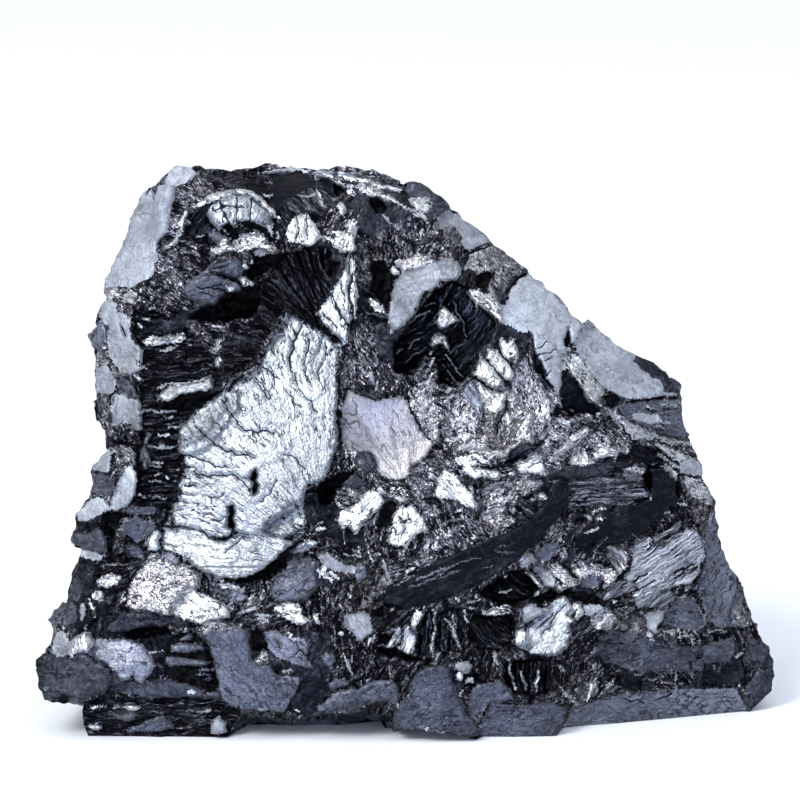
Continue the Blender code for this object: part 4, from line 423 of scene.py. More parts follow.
brow_crest sugar .62 -.9 -3 4 0: -280 145 -273 154 -256 159 -236 154 -234 148 -248 149 -264 146 -272 140;
ribs pit .04 1.2 6 0 0: -326 90 -326 110 -314 134 -304 142 -290 145 -282 140 -266 122 -259 108 -253 72 -255 60
 -280 66 -320 80;
rib_peak slate .48 .2 6 8 0: -304 132 -296 140 -289 142 -286 136 -292 130 -304 129;
rib_high slate .62 -.2 6 12 0: -316 118 -314 124 -304 127 -276 124 -266 120 -306 114;
rib_mid slate .66 -.2 6 12 0: -323 101 -322 109 -272 104 -262 100 -280 96 -300 99 -316 96;
rib_third slate .52 -.2 6 12 0: -282 91 -270 94 -259 92 -260 89 -272 89;
rib_fourth slate .52 -.2 6 12 0: -286 85 -270 87 -258 85 -274 83;
rib_low slate .46 -.2 6 12 0: -276 79 -262 82 -256 80 -264 77;
lump_face slate .74 -.8 -8 12 -.6: -428 114 -418 132 -412 135 -400 132 -384 134 -370 132 -356 126 -338 102
 -340
 92 -354 76 -362 74 -366 84 -372 80 -384 80 -394 88 -400 98 -424 108;
lump_left slate .34 -.4 -24 -8 -.8: -503 96 -494 108 -484 114 -468 106 -442 112 -430 112 -420 102 -406 96 -396
 84 -394 70 -402 62 -426 56 -434 46 -456 42 -476 43 -494 54 -500 74;
lump_chip slate .7 -.8 -24 8 0: -489 65 -480 70 -474 67 -482 63;
lump_curl ringed .95 -1.3 -14 18 -.3: -452 128 -440 138 -430 141 -424 140 -418 130 -428 116 -442 114 -450 109
 -455 112;
lump_ear frost .52 0 -30 6 0: -476 124 -472 136 -466 143 -462 144 -453 129 -456 110 -466 107 -484 118;
lump_strip slate .34 .4 0 -12 0: -394 84 -368 76 -350 76 -330 80 -296 74 -272 62 -253 60 -250 46 -300 49 -354
 54 -390 62 -402 62;
brow_slab slate .26 -1.2 -2 -10 -.3: -404 146 -380 168 -344 168 -324 162 -302 160 -294 156 -304 150 -322 152
 -330 149 -350 149 -374 143 -396 143;
slab_stripe slate .4 -1.4 -2 0 0: -372 152 -360 157 -328 159 -334 156 -352 153 -364 149;
mouth pit .02 2.6 0 -20 0: -382 140 -350 149 -322 149 -320 144 -346 136 -362 134;
brow_mid slate .5 -.8 0 -12 -.3: -122 30 -116 46 -76 68 -66 64 -60 70 -48 76 -22 78 -14 72 -10 54 -16 46
 -28 44
 -38 46 -64 37 -74 30 -86 28;
brow_upper slate .44 -.3 0 0 0: -106 72 -98 79 -86 80 -76 76 -78 71 -102 65;
dark_saddle slate .1 .8 6 -6 0: -156 50 -140 76 -126 80 -112 78 -100 62 -114 54 -124 32 -134 26 -156 34;
saddle_glint silver .79 0 0 10 0: -152 39 -146 39 -142 34 -147 34;
toe_left slate .43 -.6 -4 -6 -.5: 4 76 18 92 30 97 46 97 56 92 60 84 60 74 78 36 94 16 94 2 60 3 20 6 -6 5 -18
 9 -21 20 -16 34 -4 54 4 62;
toe_upper slate .48 -.3 0 0 0: 84 62 90 70 122 77 138 66 144 50 108 46 99 30 86 32 79 44;
toe_right slate .46 -.9 2 -8 -.3: 96 -18 100 24 106 40 114 47 160 43 194 46 214 38 204 8 206 -10 170 -18 136
 -20;
knuckle frost .55 -.6 0 12 -.2: 62 94 68 102 82 102 86 96 82 88 66 92;
knuckle_ring ringed .9 -.8 0 14 -.2: 65 87 71 90 76 84 74 78 68 77 65 81;
knuckle_glint silver .84 -.6 0 20 0: 74 75 82 80 90 80 86 76;
strip_mid slate .4 -.5 6 4 0: 256 110 258 134 280 142 304 138 356 122 384 118 438 128 446 112 432 98 406 90
 380
 86 344 88 320 84 264 98;
strip_low slate .7 1 20 -4 -.2: 208 -6 206 10 220 34 260 52 320 60 380 62 446 62 458 38 459 16 416 12 360 8
 300
 -2 240 -8;
corner_low slate .38 -.3 24 -6 -.2: 460 64 476 86 494 88 502 62 494 42 464 20 458 40;
corner_high slate .34 0 28 10 -.2: 456 102 462 126 484 130 500 102 494 90 466 92;
corner_shade slate .14 .5 14 0 .2: 400 66 402 96 454 100 458 74 440 65;
foot ribbed .08 2.6 -2 -6 0: -439 46 -439 10 -436 -20 -340 -24 -240 -24 -228 10 -220 36 -250 52 -300 55
 -360 53
 -410 54;
foot_plate slate .44 2.2 -4 -4 0: -370 14 -336 27 -324 27 -316 22 -312 14 -328 9 -376 8;
foot_eye frost .5 1.2 -6 8 -.2: -262 20 -258 25 -250 28 -244 20 -244 8 -254 5 -261 6;
foot_glint silver .85 2 -6 20 0: -429 16 -420 19 -412 18 -408 14 -414 11 -424 11;
foot_glint_high silver .79 1.6 -6 20 0: -396 42 -384 46 -370 46 -359 43 -360 39 -366 37;
foot_glint_left silver .75 1.4 -6 20 0: -427 42 -420 44 -410 45 -401 42 -410 40 -420 39;
foot_glint_top silver .7 1.2 -6 20 0: -417 52 -410 52 -401 57 -408 55;
foot_haze frost .36 1.8 -6 6 0: -398 33 -382 35 -368 34 -362 28 -376 23 -388 26;
foot_streak silver .75 1.2 -6 8 0: -282 34 -274 38 -262 39 -260 36 -270 33;
foot_spot silver .84 .6 -6 12 0: -297 61 -289 65 -282 64 -282 60 -289 59;
foot_spot_right silver .79 .6 -6 12 0: -273 59 -266 62 -261 59 -268 57;
"""
# Which way the grain runs on facets: along lines at an angle in degrees, as rays from a place or as rings
# round it, then the facets' names.
FLOWS = """
rays -9.5 23: fan fan_skirt fan_fade fan_pale fan_pale_low fan_fade_low;
rays 12.6 38.6: fan_heart heart_halo;
lines 165: fan_foot;
lines 150: fan_foot_bright;
lines 97: tall_blade;
rays -8.5 51: dark_fan;
rays -22.5 62: dome;
rings -22.5 65: dome_core;
rings -23.2 65.5: dome_rim;
rings -21 64: dome_arch;
rings -26 55: slab_shelf_low;
rays 0.5 33: shell;
lines 62: shell_wing left_low_plate;
rings 9 55: wing;
rings 4 52: wing_cheek;
lines 92: tall_blade_edge;
rings -6 66: wing_hollow;
lines 33: striped_slab;
lines 52: bright_shell;
lines 58: curl;
lines 70: curl_tip flank_dark v_patch;
rings 13.4 19: bowl_rim;
rings 16.5 23.5: bowl_upper;
rings 14.5 17.5: bowl_lower;
lines 88: colonnade;
lines 86: post_field shell_stripes;
lines 84: column_hole;
lines 4: gully foot;
lines 80: gully_rib_low left_cheek white_patch;
lines 2: ribs ripples;
lines -14: top_strands flank_strand;
rings 26 21.5: arc_plate;
rays -43 9: lump_curl;
lines -8: flank_upper;
lines -22: flank_bright;
lines -50: slope_face cloth_high;
lines -38: slope_tail;
lines -45: slope_upper slope_mid cloth;
lines 64: left_shoulder;
lines 28: slab_shelf slab_light;
lines -35: brow_left flank_tail;
lines 12: lump_face;
lines 15: toe_right;
lines 5: strip_low strip_mid;
lines 60: left_slab block_high shell_shadow skirt_lobe;
lines 20: slate_steps blade_short;
rings 18 50: notch;
lines 50: block_low;
lines 55: block_mid;
lines 8: lens;
lines -57: fan_small;
rays 11.9 41: sugar_low;
lines -12: flank_sheen;
lines -28: flank_wing;
lines 27: slab_upper;
lines 38: slab_leaf toe_sheet;
lines 32: crust_box;
lines 24: curl_wing;
lines 66: curl_right;
lines 45: left_mid;
lines 3: blade_thin;
lines 82: comb;
lines 26: blade_long;
lines -52: corner_lip;
"""
# Cracks: width and depth in tenths of a millimetre, then lines of points in tenths, split by slashes.
CRACKS = """
4 2: -142 554 -145 542 -153 532 -153 520 -158 508 -155 490;
2.2 1: -155 490 -148 473 -138 460 -125 445 -119 433 / -132 535 -133 520 -139 505 -138 493 -130 475 / -100 595
 -94 575 -90 558;
1.8 1: -113 537 -115 526 -123 513 / -109 530 -109 515 -115 498 -118 480 / -100 520 -108 510 / -162 466 -152
 453
 -143 442 / -69 630 -76 610 -77 590 -72 570 -71 558 / -279 596 -268 596 -260 592 / -203 484 -192 469 -182
 456 /
 -200 312 -184 326 -174 346 / -270 324 -254 322 -244 328 / -186 502 -178 484 -179 468 / -264 430 -256 420 -246
 414 / -306 366 -294 366 -286 362 / -304 328 -286 323 / -312 318 -294 316 / -310 304 -298 306 / -304 346 -292
 347 / -260 292 -250 291 -244 296 / -259 282 -252 275 -246 272;
2.4 1: -205 479 -192 462 -185 455 / -280 280 -265 268 -240 266 -234 275 -236 290 / -315 284 -285 280 / -102
 595
 -94 582 -89 568 -82 554 -80 546;
2.8 2: -245 448 -235 433 -223 417 -218 410 -195 410 -175 408 / -285 358 -273 350 -260 350 -245 353 -230 350
 -218 342 -210 330;
3 2: -278 412 -263 398 -250 387 -230 381 -215 380 -205 376;
2.6 1: -300 380 -280 375 -263 366 -250 361 -237 362;
2 1: -243 250 -230 260 -220 268 / -165 380 -150 378 -143 366 -135 360;
3.6 4: 2 448 15 418 32 398;
4 4: -246 705 -241 693 -238 682 / 202 214 206 208 208 204;
3 3: -266 623 -250 621 -236 615 -226 609 / -280 604 -264 602 -248 600 -238 595 / 73 642 94 654 118 662 / 121
 536 123 519 130 509 140 500 144 489 143 482 / 103 509 116 495 128 481 134 478 / 134 440 124 426 120 416 119
 406 / 204 236 216 228 222 219 230 212 / 288 418 296 406 308 398 / -250 718 -246 704 -248 692;
2.4 2: -260 629 -248 632 -240 636 / -248 609 -262 605 / 184 138 194 150 202 164 214 178 / 336 48 350 52 360 56
 / 388 46 396 52 / -424 355 -412 355 -400 353;
1.6 1: -194 500 -182 486 -172 480 / -302 337 -284 338 / -92 614 -86 598 -84 582 / -114 569 -102 560 -94 549;
4.2 5: 162 625 146 614 135 600 / 362 220 376 226 388 232;
4.4 5: 295 450 330 454 370 458;
2.2 2: 173 521 180 525 187 531 / 179 512 190 518 200 520 / 82 378 98 369 114 360 / 174 146 186 156 200 166 /
 154 146 170 158 182 164 / -14 272 -6 275 0 280 / -152 112 -144 116 -149 126 / -146 120 -134 111 / -176 134
 -170 120 / -148 700 -146 686 -149 672 / -136 699 -134 684 -135 670 / -210 722 -208 706 -210 694;
2 2: 183 505 194 509 / 188 486 194 492;
4.4 4: 86 485 100 480 110 469 117 465;
2.6 3: 135 456 130 446 134 439 / 302 193 320 201 336 209 / 268 126 272 130 280 128 / 272 123 286 126 294 124 /
 294 50 306 47 322 45 / -79 644 -76 622 -79 600 -77 582 -76 568 / -230 724 -228 708 -230 690 / -262 709 -240
 713 -220 711;
3.2 4: 304 208 316 215 324 219;
2.8 3: 364 214 374 219;
7 5: 384 222 391 227;
6 4: -10 296 -7 290;
4.6 4: -5 289 4 292;
5 2: -297 363 -288 363 / -303 352 -295 351;
3.4 4: 330 396 342 384 352 376 364 369;
"""
# Thin shards, ribs and seams: finish, tone, sink and half width in millimetres, lines as for the cracks.
# The light slivers sunk 1.9 mm in the gully are painted highlights where its ribs catch the light.
SLIVERS = """
silver .95 -.5 .22: 138 100 140 80 146 62;
silver .9 -.5 .2: 153 88 159 63 / 177 102 173 60;
silver .85 -.5 .2: 203 98 210 85;
silver .8 -.4 .16: 33 173 38 150 32 125 33 110 / 52 160 63 145 68 125 75 120;
silver .9 -.4 .2: 76 75 90 77;
silver .9 -.3 .16: -425 42 -405 43 / -396 41 -378 43;
silver .85 -.4 .22: -130 760 -90 754 -50 746 -10 735;
silver .8 -.4 .2: -100 748 -60 737 -25 722;
silver .75 -.4 .18: -40 730 0 712 30 692;
frost .8 -.3 .22: -200 759 -150 764 -90 764;
frost .6 1.9 .16: -360 440 -335 436 -310 439 / -356 392 -330 388 -310 391;
frost .6 1.9 .14: -352 366 -330 363;
frost .55 1.9 .14: -348 344 -324 341;
frost .5 1.9 .14: -344 322 -320 320;
silver .8 -.3 .16: -365 504 -352 496 / -370 486 -354 479;
silver .8 -.5 .28: -323 658 -309 670 -303 686 -302 696 -294 706;
silver .75 .9 .14: -300 696 -290 688;
silver .7 .9 .14: -285 675 -271 672;
silver .8 .8 .14: -234 684 -224 689 -219 683 -214 681;
silver .7 .4 .13: -259 719 -253 712 -246 715;
silver .7 .5 .12: -249 686 -240 676;
silver .6 .4 .12: -225 670 -219 675;
silver .7 -.2 .13: -194 731 -186 724 -181 732;
pit 0 .8 .25: -176 704 -177 684 -178 664;
pit 0 .5 .1: -207 724 -194 712 -183 702 / -91 525 -92 490 -94 450 -93 410 -92 370;
pit 0 1 .32: -158 578 -132 560 -110 546 -90 530;
frost .43 1.2 .1: 64 614 52 594 42 574 34 554;
frost .36 1.2 .1: 62 586 68 572 76 552 79 538;
frost .7 .6 .14: -18 544 -4 550 10 562 22 570 34 573;
frost .36 1 .1: 20 560 30 566 / 18 580 40 582 / -14 514 -6 522 / -2 502 12 514 30 524 / 46 500 60 484 76 466 /
 52 484 66 468 80 452;
frost .43 1 .11: 0 520 6 530 17 537;
frost .4 1 .11: 52 514 62 496 80 478;
silver .75 .2 .15: 34 502 28 492 20 485 / 36 492 32 482 22 474 12 472;
silver .8 .2 .14: 39 510 33 503;
silver .8 .2 .16: 30 513 35 520;
glass .1 .5 .3: 90 365 120 360 155 375 185 400;
frost .43 -.2 .12: 50 284 60 292 68 294 82 293;
silver .75 0 .12: 172 398 182 409 192 420 / 177 399 186 408 194 415 / 182 396 196 410 / 197 369 208 379 216
 386;
silver .85 -.2 .15: 278 361 296 360 310 361 326 363 / 292 358 310 356 324 356 / 300 310 314 314 329 320 / 342
 298 350 301 358 301 / 365 311 370 314 379 309 / 248 299 256 304 268 307 / 240 274 250 276 259 282 / 255 293
 270 293 / 190 344 204 344 / 342 426 357 421 / 338 419 350 413 / 321 442 332 443;
silver .9 -.2 .28: 241 296 247 290;
silver .7 0 .2: 344 445 356 448 368 446;
pit .03 .4 .16: 346 441 364 442;
pit .03 .4 .14: 322 439 334 438 / 336 411 346 410;
frost .32 -1.1 .1: 40 220 62 230 84 240 99 242 / 40 212 54 220 72 226 / 116 248 130 251 146 247 / 120 256 140
 262 / 0 202 20 206 40 216 60 228 / -20 203 -6 210 12 219 / 8 209 30 218 50 229 / 100 228 114 231 / 252 249
 262
 260 270 270 / 302 272 314 266;
silver .95 -.9 .24: -3 220 3 226 9 228;
silver .9 -.3 .2: -22 170 -17 172;
silver .8 -.3 .13: 76 172 79 166 80 160 86 152 / 50 164 52 158 58 152 62 144 64 132 / 61 166 63 154 64 144 70
 132 / 65 189 69 184 / 90 194 93 188 / 80 180 90 183 101 187 / 112 182 115 176 / 122 195 132 194 142 197 / 132
 213 136 219 / 126 176 138 177 / 80 175 92 175;
frost .43 -.1 .12: 351 96 352 82 / 362 88 364 72 362 52 / 382 100 385 90 386 80 / 422 98 424 82 / 416 96
 417 86
 / 300 88 312 92 320 98 / 324 74 340 78 / 306 82 320 83 / 252 88 260 98 / 242 66 250 74 259 72 / 249 54 258 66
 / 394 174 402 160 404 148 392 141 / 406 138 420 142 434 139 / 356 94 358 80;
silver .85 -.3 .2: 368 130 374 135 383 135 390 128 / 393 103 399 107 / 444 102 455 110 / 385 128 389 124;
silver .8 1.9 .15: -340 390 -328 392 -323 387 / -344 370 -332 370 -328 366 / -334 404 -318 406 / -362 328 -354
 326 / -356 323 -349 320 / -326 431 -312 430 / -324 417 -308 417 / -342 352 -332 353 / -324 349 -318 347;
silver .92 -.3 .2: -124 280 -116 281 -109 281 / -136 262 -128 263 -118 262 / -120 228 -110 217 -98 210 / -114
 222 -100 218 -92 212 / -54 130 -44 135 / -162 140 -154 139 -156 134 / -168 90 -152 92;
silver .65 -.1 .13: -86 248 -76 244 -68 246 / -76 254 -66 242 / -64 256 -62 240 / -54 250 -44 236 / -82 192
 -74
 190 / -56 194 -48 180 / -42 196 -36 184 / -126 285 -110 289;
"""
# How far a facet's edge strays from its outline, by finish, and how much of that a small one gets.
RAGGED = {"sugar": 0.4, "silver": 0.24, "frost": 0.28, "fan": 0.28, "slate": 0.28, "ribbed": 0.3,
          "glass": 0.25, "pit": 0.3}
RAGGED_ELSE = 0.15
RAGGED_SHARE, RAGGED_BY_RADIUS = 0.3, 0.35
# Painted shade along the inside of a facet's edge, frayed by noise: how far in it reaches, from least to
# most, and as a share of the facet's radius.
EDGE_FADE, EDGE_FADE_SHARE = (0.2, 0.6), 0.25
# Painted shadow in the gap beside a facet: its width, its darkness with its swing, the size of its spots and
# its darkest.
GAP, GAP_SHADOW, GAP_SWING, GAP_SPOTS, GAP_SHADOW_MOST = 0.26, 0.8, 0.9, 2.2, 0.85
GAP_ALIKE = 0.7  # how much of it is left between two facets of one finish
GAPS = {"slate": 0.8, "frost": 0.8}  # how much of it these facets get
# These run into the facet beneath with no painted gap shadow and no painted edge shade.
SEAMLESS = {"fan_skirt", "fan_fade", "fan_fade_low", "fan_pale", "fan_pale_low", "fan_heart", "heart_halo",
            "fan_foot_bright", "lump_face", "foot_eye", "strip_mid", "toe_upper", "toe_left", "toe_right"}
# Splinters: how many there are, where they lie, their spreads of turn in radians and of tilt in degrees,
# their sizes, sinks and changes of tone, how far they keep inside the outline, their shape and their looks.
SPLINTERS = 300
SPLINTER_S, SPLINTER_T = (-49, 49), (1, 76)
SPLINTER_TURN, SPLINTER_TILT = 0.4, 12
SPLINTER_LENGTH, SPLINTER_WIDTH = (0.6, 2.4), (0.15, 0.42)
SPLINTER_SINK, SPLINTER_TONE = (-0.7, 0.4), (-0.15, 0.1)
SPLINTER_INSIDE = 3
SPLINTER_SHAPE = ((-1, 0), (-0.3, -1), (0.6, -0.8), (1, 0.1), (0.2, 1))
SPLINTER_LOOKS = (("silver", 0.95), ("silver", 0.7), ("slate", 0.2), ("slate", 0.35), ("frost", 0.6),
                  ("ribbed", 0.1), ("glass", 0.1), ("sugar", 0.6))
SLIVER_TIP, SLIVER_SWELL = 0.12, 0.6  # where on a half wave a sliver starts, and how full it swells


# ---- lines and outlines

def points_of(text):
    """The points of a line written in tenths of a millimetre."""
    numbers = [int(word) / 10 for word in text.split()]
    return list(zip(numbers[::2], numbers[1::2]))


def rows_of(table):
    """Each row of a table as its words, its numbers and one of its lines."""
    for row in table.split(";")[:-1]:
        head, lines = row.split(":")
        words = [word for word in head.split() if word[-1].isalpha()]
        numbers = [float(word) for word in head.split()[len(words):]]
        for line in lines.split("/"):
            yield (*words, *numbers, points_of(line))


def flows_of(table):
    """Kind and numbers of the grain for each facet that the table names."""
    flows = {}
    for row in table.split(";")[:-1]:
        head, names = row.split(":")
        kind, *numbers = head.split()
        flows.update({name: (kind, [float(number) for number in numbers]) for name in names.split()})
    return flows


def edges_of(outline):
    """Each side of an outline as a pair of points."""
    return list(zip(outline, outline[1:] + outline[:1]))


def area_of(outline):
    """Signed area, positive when the outline runs anticlockwise."""
    return sum(a[0] * b[1] - b[0] * a[1] for a, b in edges_of(outline)) / 2


def holds(outline, s, t):
    """For each point, whether it lies inside the outline."""
    inside = np.zeros(len(s), bool)
    for (s0, t0), (s1, t1) in edges_of(outline):
        if t0 != t1:
            inside ^= ((t0 > t) != (t1 > t)) & (s < s0 + (t - t0) * (s1 - s0) / (t1 - t0))
    return inside


def distance_to(line, s, t):
    """For each point, the distance to the nearest stretch of the line."""
    best = np.full(len(s), 1e9)
    for (s0, t0), (s1, t1) in zip(line, line[1:]):
        ds, dt = s1 - s0, t1 - t0
        along = np.clip(((s - s0) * ds + (t - t0) * dt) / (ds * ds + dt * dt), 0, 1)
        best = np.minimum(best, np.hypot(s - s0 - ds * along, t - t0 - dt * along))
    return best


def walked(line, step):
    """The line again, with points this far apart."""
    result = []
    for (s0, t0), (s1, t1) in zip(line, line[1:]):
        count = max(1, round(math.hypot(s1 - s0, t1 - t0) / step))
        result += [(s0 + (s1 - s0) * i / count, t0 + (t1 - t0) * i / count) for i in range(count)]
    return result + [line[-1]]


def moved(line, distances, closed=False):
    """The line with each point moved by its own distance, to the right of the way it runs."""
    last = len(line) - 1
    result = []
    for i, ((s, t), distance) in enumerate(zip(line, distances)):
        before = line[i - 1] if i or closed else line[0]
        after = line[i + 1] if i < last else line[0 if closed else last]
        move = Vector((after[1] - before[1], before[0] - after[0])).normalized() * distance
        result.append((s + move.x, t + move.y))
    return result


def beside(line, distance):
    """The open line moved sideways."""
    return moved(line, [distance] * len(line))


def moved_out(outline, distance):
    """The closed outline moved outwards, or inwards for a negative distance."""
    sign = 1 if area_of(outline) > 0 else -1
    return moved(outline, [sign * distance] * len(outline), closed=True)


def pushes(points, waves, seed, amount):
    """A smooth random push for each point, with this many waves per millimetre."""
    return [noise.noise_vector((s * waves, t * waves, seed)) * amount for s, t in points]


def ragged(outline, amount):
    """The closed outline with its points close together, each a little off the line."""
    points = walked(outline + outline[:1], EDGE_STEP)[:-1]
    coarse = pushes(points, 1.1, 3.0, amount)
    fine = [push * 0.6 for push in pushes(points, 2.7, 9.0, amount)]
    return [(s + c.x + f.x, t + c.y + f.y) for (s, t), c, f in zip(points, coarse, fine)]


def wandering(line):
    """A crack's line with its corners rounded and a small wobble."""
    near, far = 0.25, 0.75
    for _ in range(2):
        cut = [line[0]]
        for (s0, t0), (s1, t1) in zip(line, line[1:]):
            cut.append((s0 * far + s1 * near, t0 * far + t1 * near))
            cut.append((s0 * near + s1 * far, t0 * near + t1 * far))
        line = cut + [line[-1]]
    points = walked(line, CRACK_STEP)
    return [(s + p.x, t + p.y) for (s, t), p in zip(points, pushes(points, 1.3, 5.0, CRACK_STRAY))]


CLOSED_OUTLINE = [tuple(float(number) for number in pair.split(",")) for pair in OUTLINE.split()]
CLOSED_OUTLINE.append(CLOSED_OUTLINE[0])
GRAINS = flows_of(FLOWS)
WANDERED = [(width * TENTH, sink * TENTH, wandering(line)) for width, sink, line in rows_of(CRACKS)]


# ---- noise and relief

def wave(s, t, size, seed):
    """Soft noise from -1 to 1 over the front, with lumps about this many millimetres across."""
    return np.array([noise.noise((a / size, b / size, seed * 7.3)) for a, b in zip(s, t)])


def streaks(along, across, length, width, seed):
    """Noise from -1 to 1 drawn out along the grain."""
    return np.array([noise.noise((a / length, b / width, seed)) for a, b in zip(along, across)])


class Cells:
    """Random cells over the front, each with its own random numbers."""

    LOW_S, LOW_T, SPAN = -60, -20, 120

    def __init__(self, size, seed):
        self.size = size
        self.count = int(self.SPAN / size) + 3
        dice = np.random.default_rng(seed)
        self.shift = dice.uniform(0.05, 0.95, (self.count, self.count, 2))
        self.values = dice.uniform(-1, 1, (self.count, self.count, 4))

    def nearest(self, s, t):
        """For each point, its offset from the nearest cell's middle and that cell's numbers."""
        i = np.floor((s - self.LOW_S) / self.size).astype(int)
        j = np.floor((t - self.LOW_T) / self.size).astype(int)
        best = np.full(len(s), np.inf)
        offset = np.zeros((len(s), 2))
        values = np.zeros((len(s), 4))
        for di, dj in itertools.product((-1, 0, 1), repeat=2):
            a = np.clip(i + di, 0, self.count - 1)
            b = np.clip(j + dj, 0, self.count - 1)
            ds = s - ((a + self.shift[a, b, 0]) * self.size + self.LOW_S)
            dt = t - ((b + self.shift[a, b, 1]) * self.size + self.LOW_T)
            away = np.hypot(ds, dt)
            closer = away < best
            best = np.where(closer, away, best)
            offset[closer] = np.stack([ds, dt], 1)[closer]
            values[closer] = self.values[a, b][closer]
        return offset, values


PATCHES = Cells(5.5, 14)
LARGE_GRAINS = Cells(2.3, 11)
MIDDLE_GRAINS = Cells(1.1, 12)
SMALL_GRAINS = Cells(0.6, 13)
# Grains of the ground: their cells, height and tilt.
GROUND_GRAINS = ((LARGE_GRAINS, 0.5, 0.35), (MIDDLE_GRAINS, 0.2, 0.45), (SMALL_GRAINS, 0.08, 0.4))
# Fine relief of each finish, in millimetres. sheets and waves: height, width, then the strength, length
# and width of their sway. streaks: height, length, width and seed of each layer. grains: their cells,
# height and tilt.
RELIEFS = {
    "fan": dict(sheets=(0.06, 3.4, 0.8, 9, 2.5), streaks=((0.035, 5, 0.5, 2),)),
    "ringed": dict(waves=(0.10, 0.95), streaks=((0.08, 3, 0.6, 0),)),
    "striped": dict(streaks=((0.07, 7, 0.45, 0), (0.05, 3, 0.3, 0))),
    "ribbed": dict(waves=(0.26, 1.15, 2.2, 6, 2), streaks=((0.24, 4, 0.6, 3),)),
    "glass": dict(waves=(0.07, 0.9, 2, 7, 2)),
    "slate": dict(streaks=((0.10, 6, 1.4, 0), (0.05, 2.2, 0.5, 0))),
    "shell": dict(streaks=((0.08, 5, 0.8, 0), (0.06, 2, 0.5, 0))),
    "sugar": dict(grains=(SMALL_GRAINS, 0.13, 0.55)),
    "pit": dict(grains=(MIDDLE_GRAINS, 0.3, 0.6)),
    "silver": dict(streaks=((0.10, 1.6, 0.7, 0),), grains=(MIDDLE_GRAINS, 0.03, 0.12)),
    "frost": dict(streaks=((0.09, 2.6, 1.2, 0),), grains=(SMALL_GRAINS, 0.03, 0.12)),
}
RELIEFS["matrix"] = RELIEFS["frost"]
WAVE_TURN = 6.3  # a full turn, nearly


def grain_relief(cells, s, t, height, tilt):
    """Small tilted grains: how far each point stands back."""
    offset, values = cells.nearest(s, t)
    return values[:, 0] * height + (offset * values[:, 1:3]).sum(1) * tilt


def relief_of(finish, along, across, s, t, seed):
    """Fine relief of one finish, in millimetres, measured away from the viewer."""
    def swayed(phase, strength=0, *size):
        return phase + strength * streaks(along, across, *size, seed) if strength else phase

    look = RELIEFS[finish]
    relief = np.zeros(len(s))
    if "sheets" in look:
        height, width, *sway = look["sheets"]
        relief += height * np.mod(swayed(along / width, *sway), 1)
    if "waves" in look:
        height, width, *sway = look["waves"]
        relief += height * np.sin(swayed(across * WAVE_TURN / width, *sway))
    for height, length, width, step in look.get("streaks", ()):
        relief += height * streaks(along, across, length, width, seed + step)
    if "grains" in look:
        cells, height, tilt = look["grains"]
        relief += grain_relief(cells, s, t, height, tilt)
    return relief


# ---- break faces

def front_base(s, t):
    """Depth of the blocked-out front."""
    return np.max([at + s * across + t * up for at, across, up in FRONT_PLANES], axis=0)


class Facet:
    """One break face: a tilted plane that may be hollowed or domed, with its finish."""

    DOME_REACH = 1.7  # square of a dome's reach, in squares of the facet's radius

    def __init__(self, name, finish, tone, sink, yaw, pitch, bowl, outline):
        self.name, self.finish, self.tone, self.bowl = name, finish, tone, bowl
        self.s = sum(p[0] for p in outline) / len(outline)
        self.t = sum(p[1] for p in outline) / len(outline)
        self.depth = float(front_base(np.array([self.s]), np.array([self.t]))[0]) + sink
        self.across = math.tan(math.radians(yaw))
        self.up = math.tan(math.radians(pitch))
        self.radius = math.sqrt(abs(area_of(outline)) / math.pi)
        self.outline = outline
        self.flow = GRAINS.get(name) or ("lines", [self.long_axis()])
        if name != "splinter":
            share = min(1, RAGGED_SHARE + RAGGED_BY_RADIUS * self.radius)
            self.outline = ragged(outline, RAGGED.get(finish, RAGGED_ELSE) * share)
        self.low, self.high = np.min(self.outline, 0), np.max(self.outline, 0)

    def long_axis(self):
        """Direction of the facet's length, in degrees."""
        points = np.array(self.outline) - (self.s, self.t)
        axes = np.linalg.eigh(points.T @ points)[1]
        return math.degrees(math.atan2(axes[1, 1], axes[0, 1]))

    def near(self, s, t, margin=0.0):
        """Numbers of the points in or close to the facet's box."""
        low, high = self.low - margin, self.high + margin
        return np.flatnonzero((s >= low[0]) & (s <= high[0]) & (t >= low[1]) & (t <= high[1]))

    def covers(self, s, t):
        """Numbers of the points inside the facet's edge."""
        near = self.near(s, t)
        return near[holds(self.outline, s[near], t[near])] if len(near) else near

    def depth_at(self, s, t):
        """Depth of its tilted and domed plane."""
        ds, dt = s - self.s, t - self.t
        dome = np.maximum(0, 1 - (ds * ds + dt * dt) / (self.radius * self.radius * self.DOME_REACH))
        return self.depth + ds * self.across + dt * self.up + self.bowl * dome

    def grain(self, s, t):
        """Along and across the grain, in millimetres."""
        kind, value = self.flow
        if kind == "lines":
            angle = math.radians(value[0])
            ds, dt = s - self.s, t - self.t
            return ds * math.cos(angle) + dt * math.sin(angle), dt * math.cos(angle) - ds * math.sin(angle)
        ds, dt = s - value[0], t - value[1]
        radius = np.hypot(ds, dt)
        turn = np.arctan2(dt, ds)
        middle = math.hypot(self.s - value[0], self.t - value[1])
        return (radius, turn * middle) if kind == "rays" else (turn * middle, radius)


def base_tilt(s, t):
    """Slope of the blocked-out front here, in degrees across and up."""
    step = 0.2
    deep = front_base(np.array([s - step, s + step, s, s]), np.array([t, t, t - step, t + step]))
    return (math.degrees(math.atan2(deep[1] - deep[0], 2 * step)),
            math.degrees(math.atan2(deep[3] - deep[2], 2 * step)))


def ground_angle(s, t):
    """Which way the ground's fibres run here, in radians."""
    size, swing, middle = 22, 3.4, -0.5
    return swing * noise.noise((s / size, t / size, 1.5)) + middle


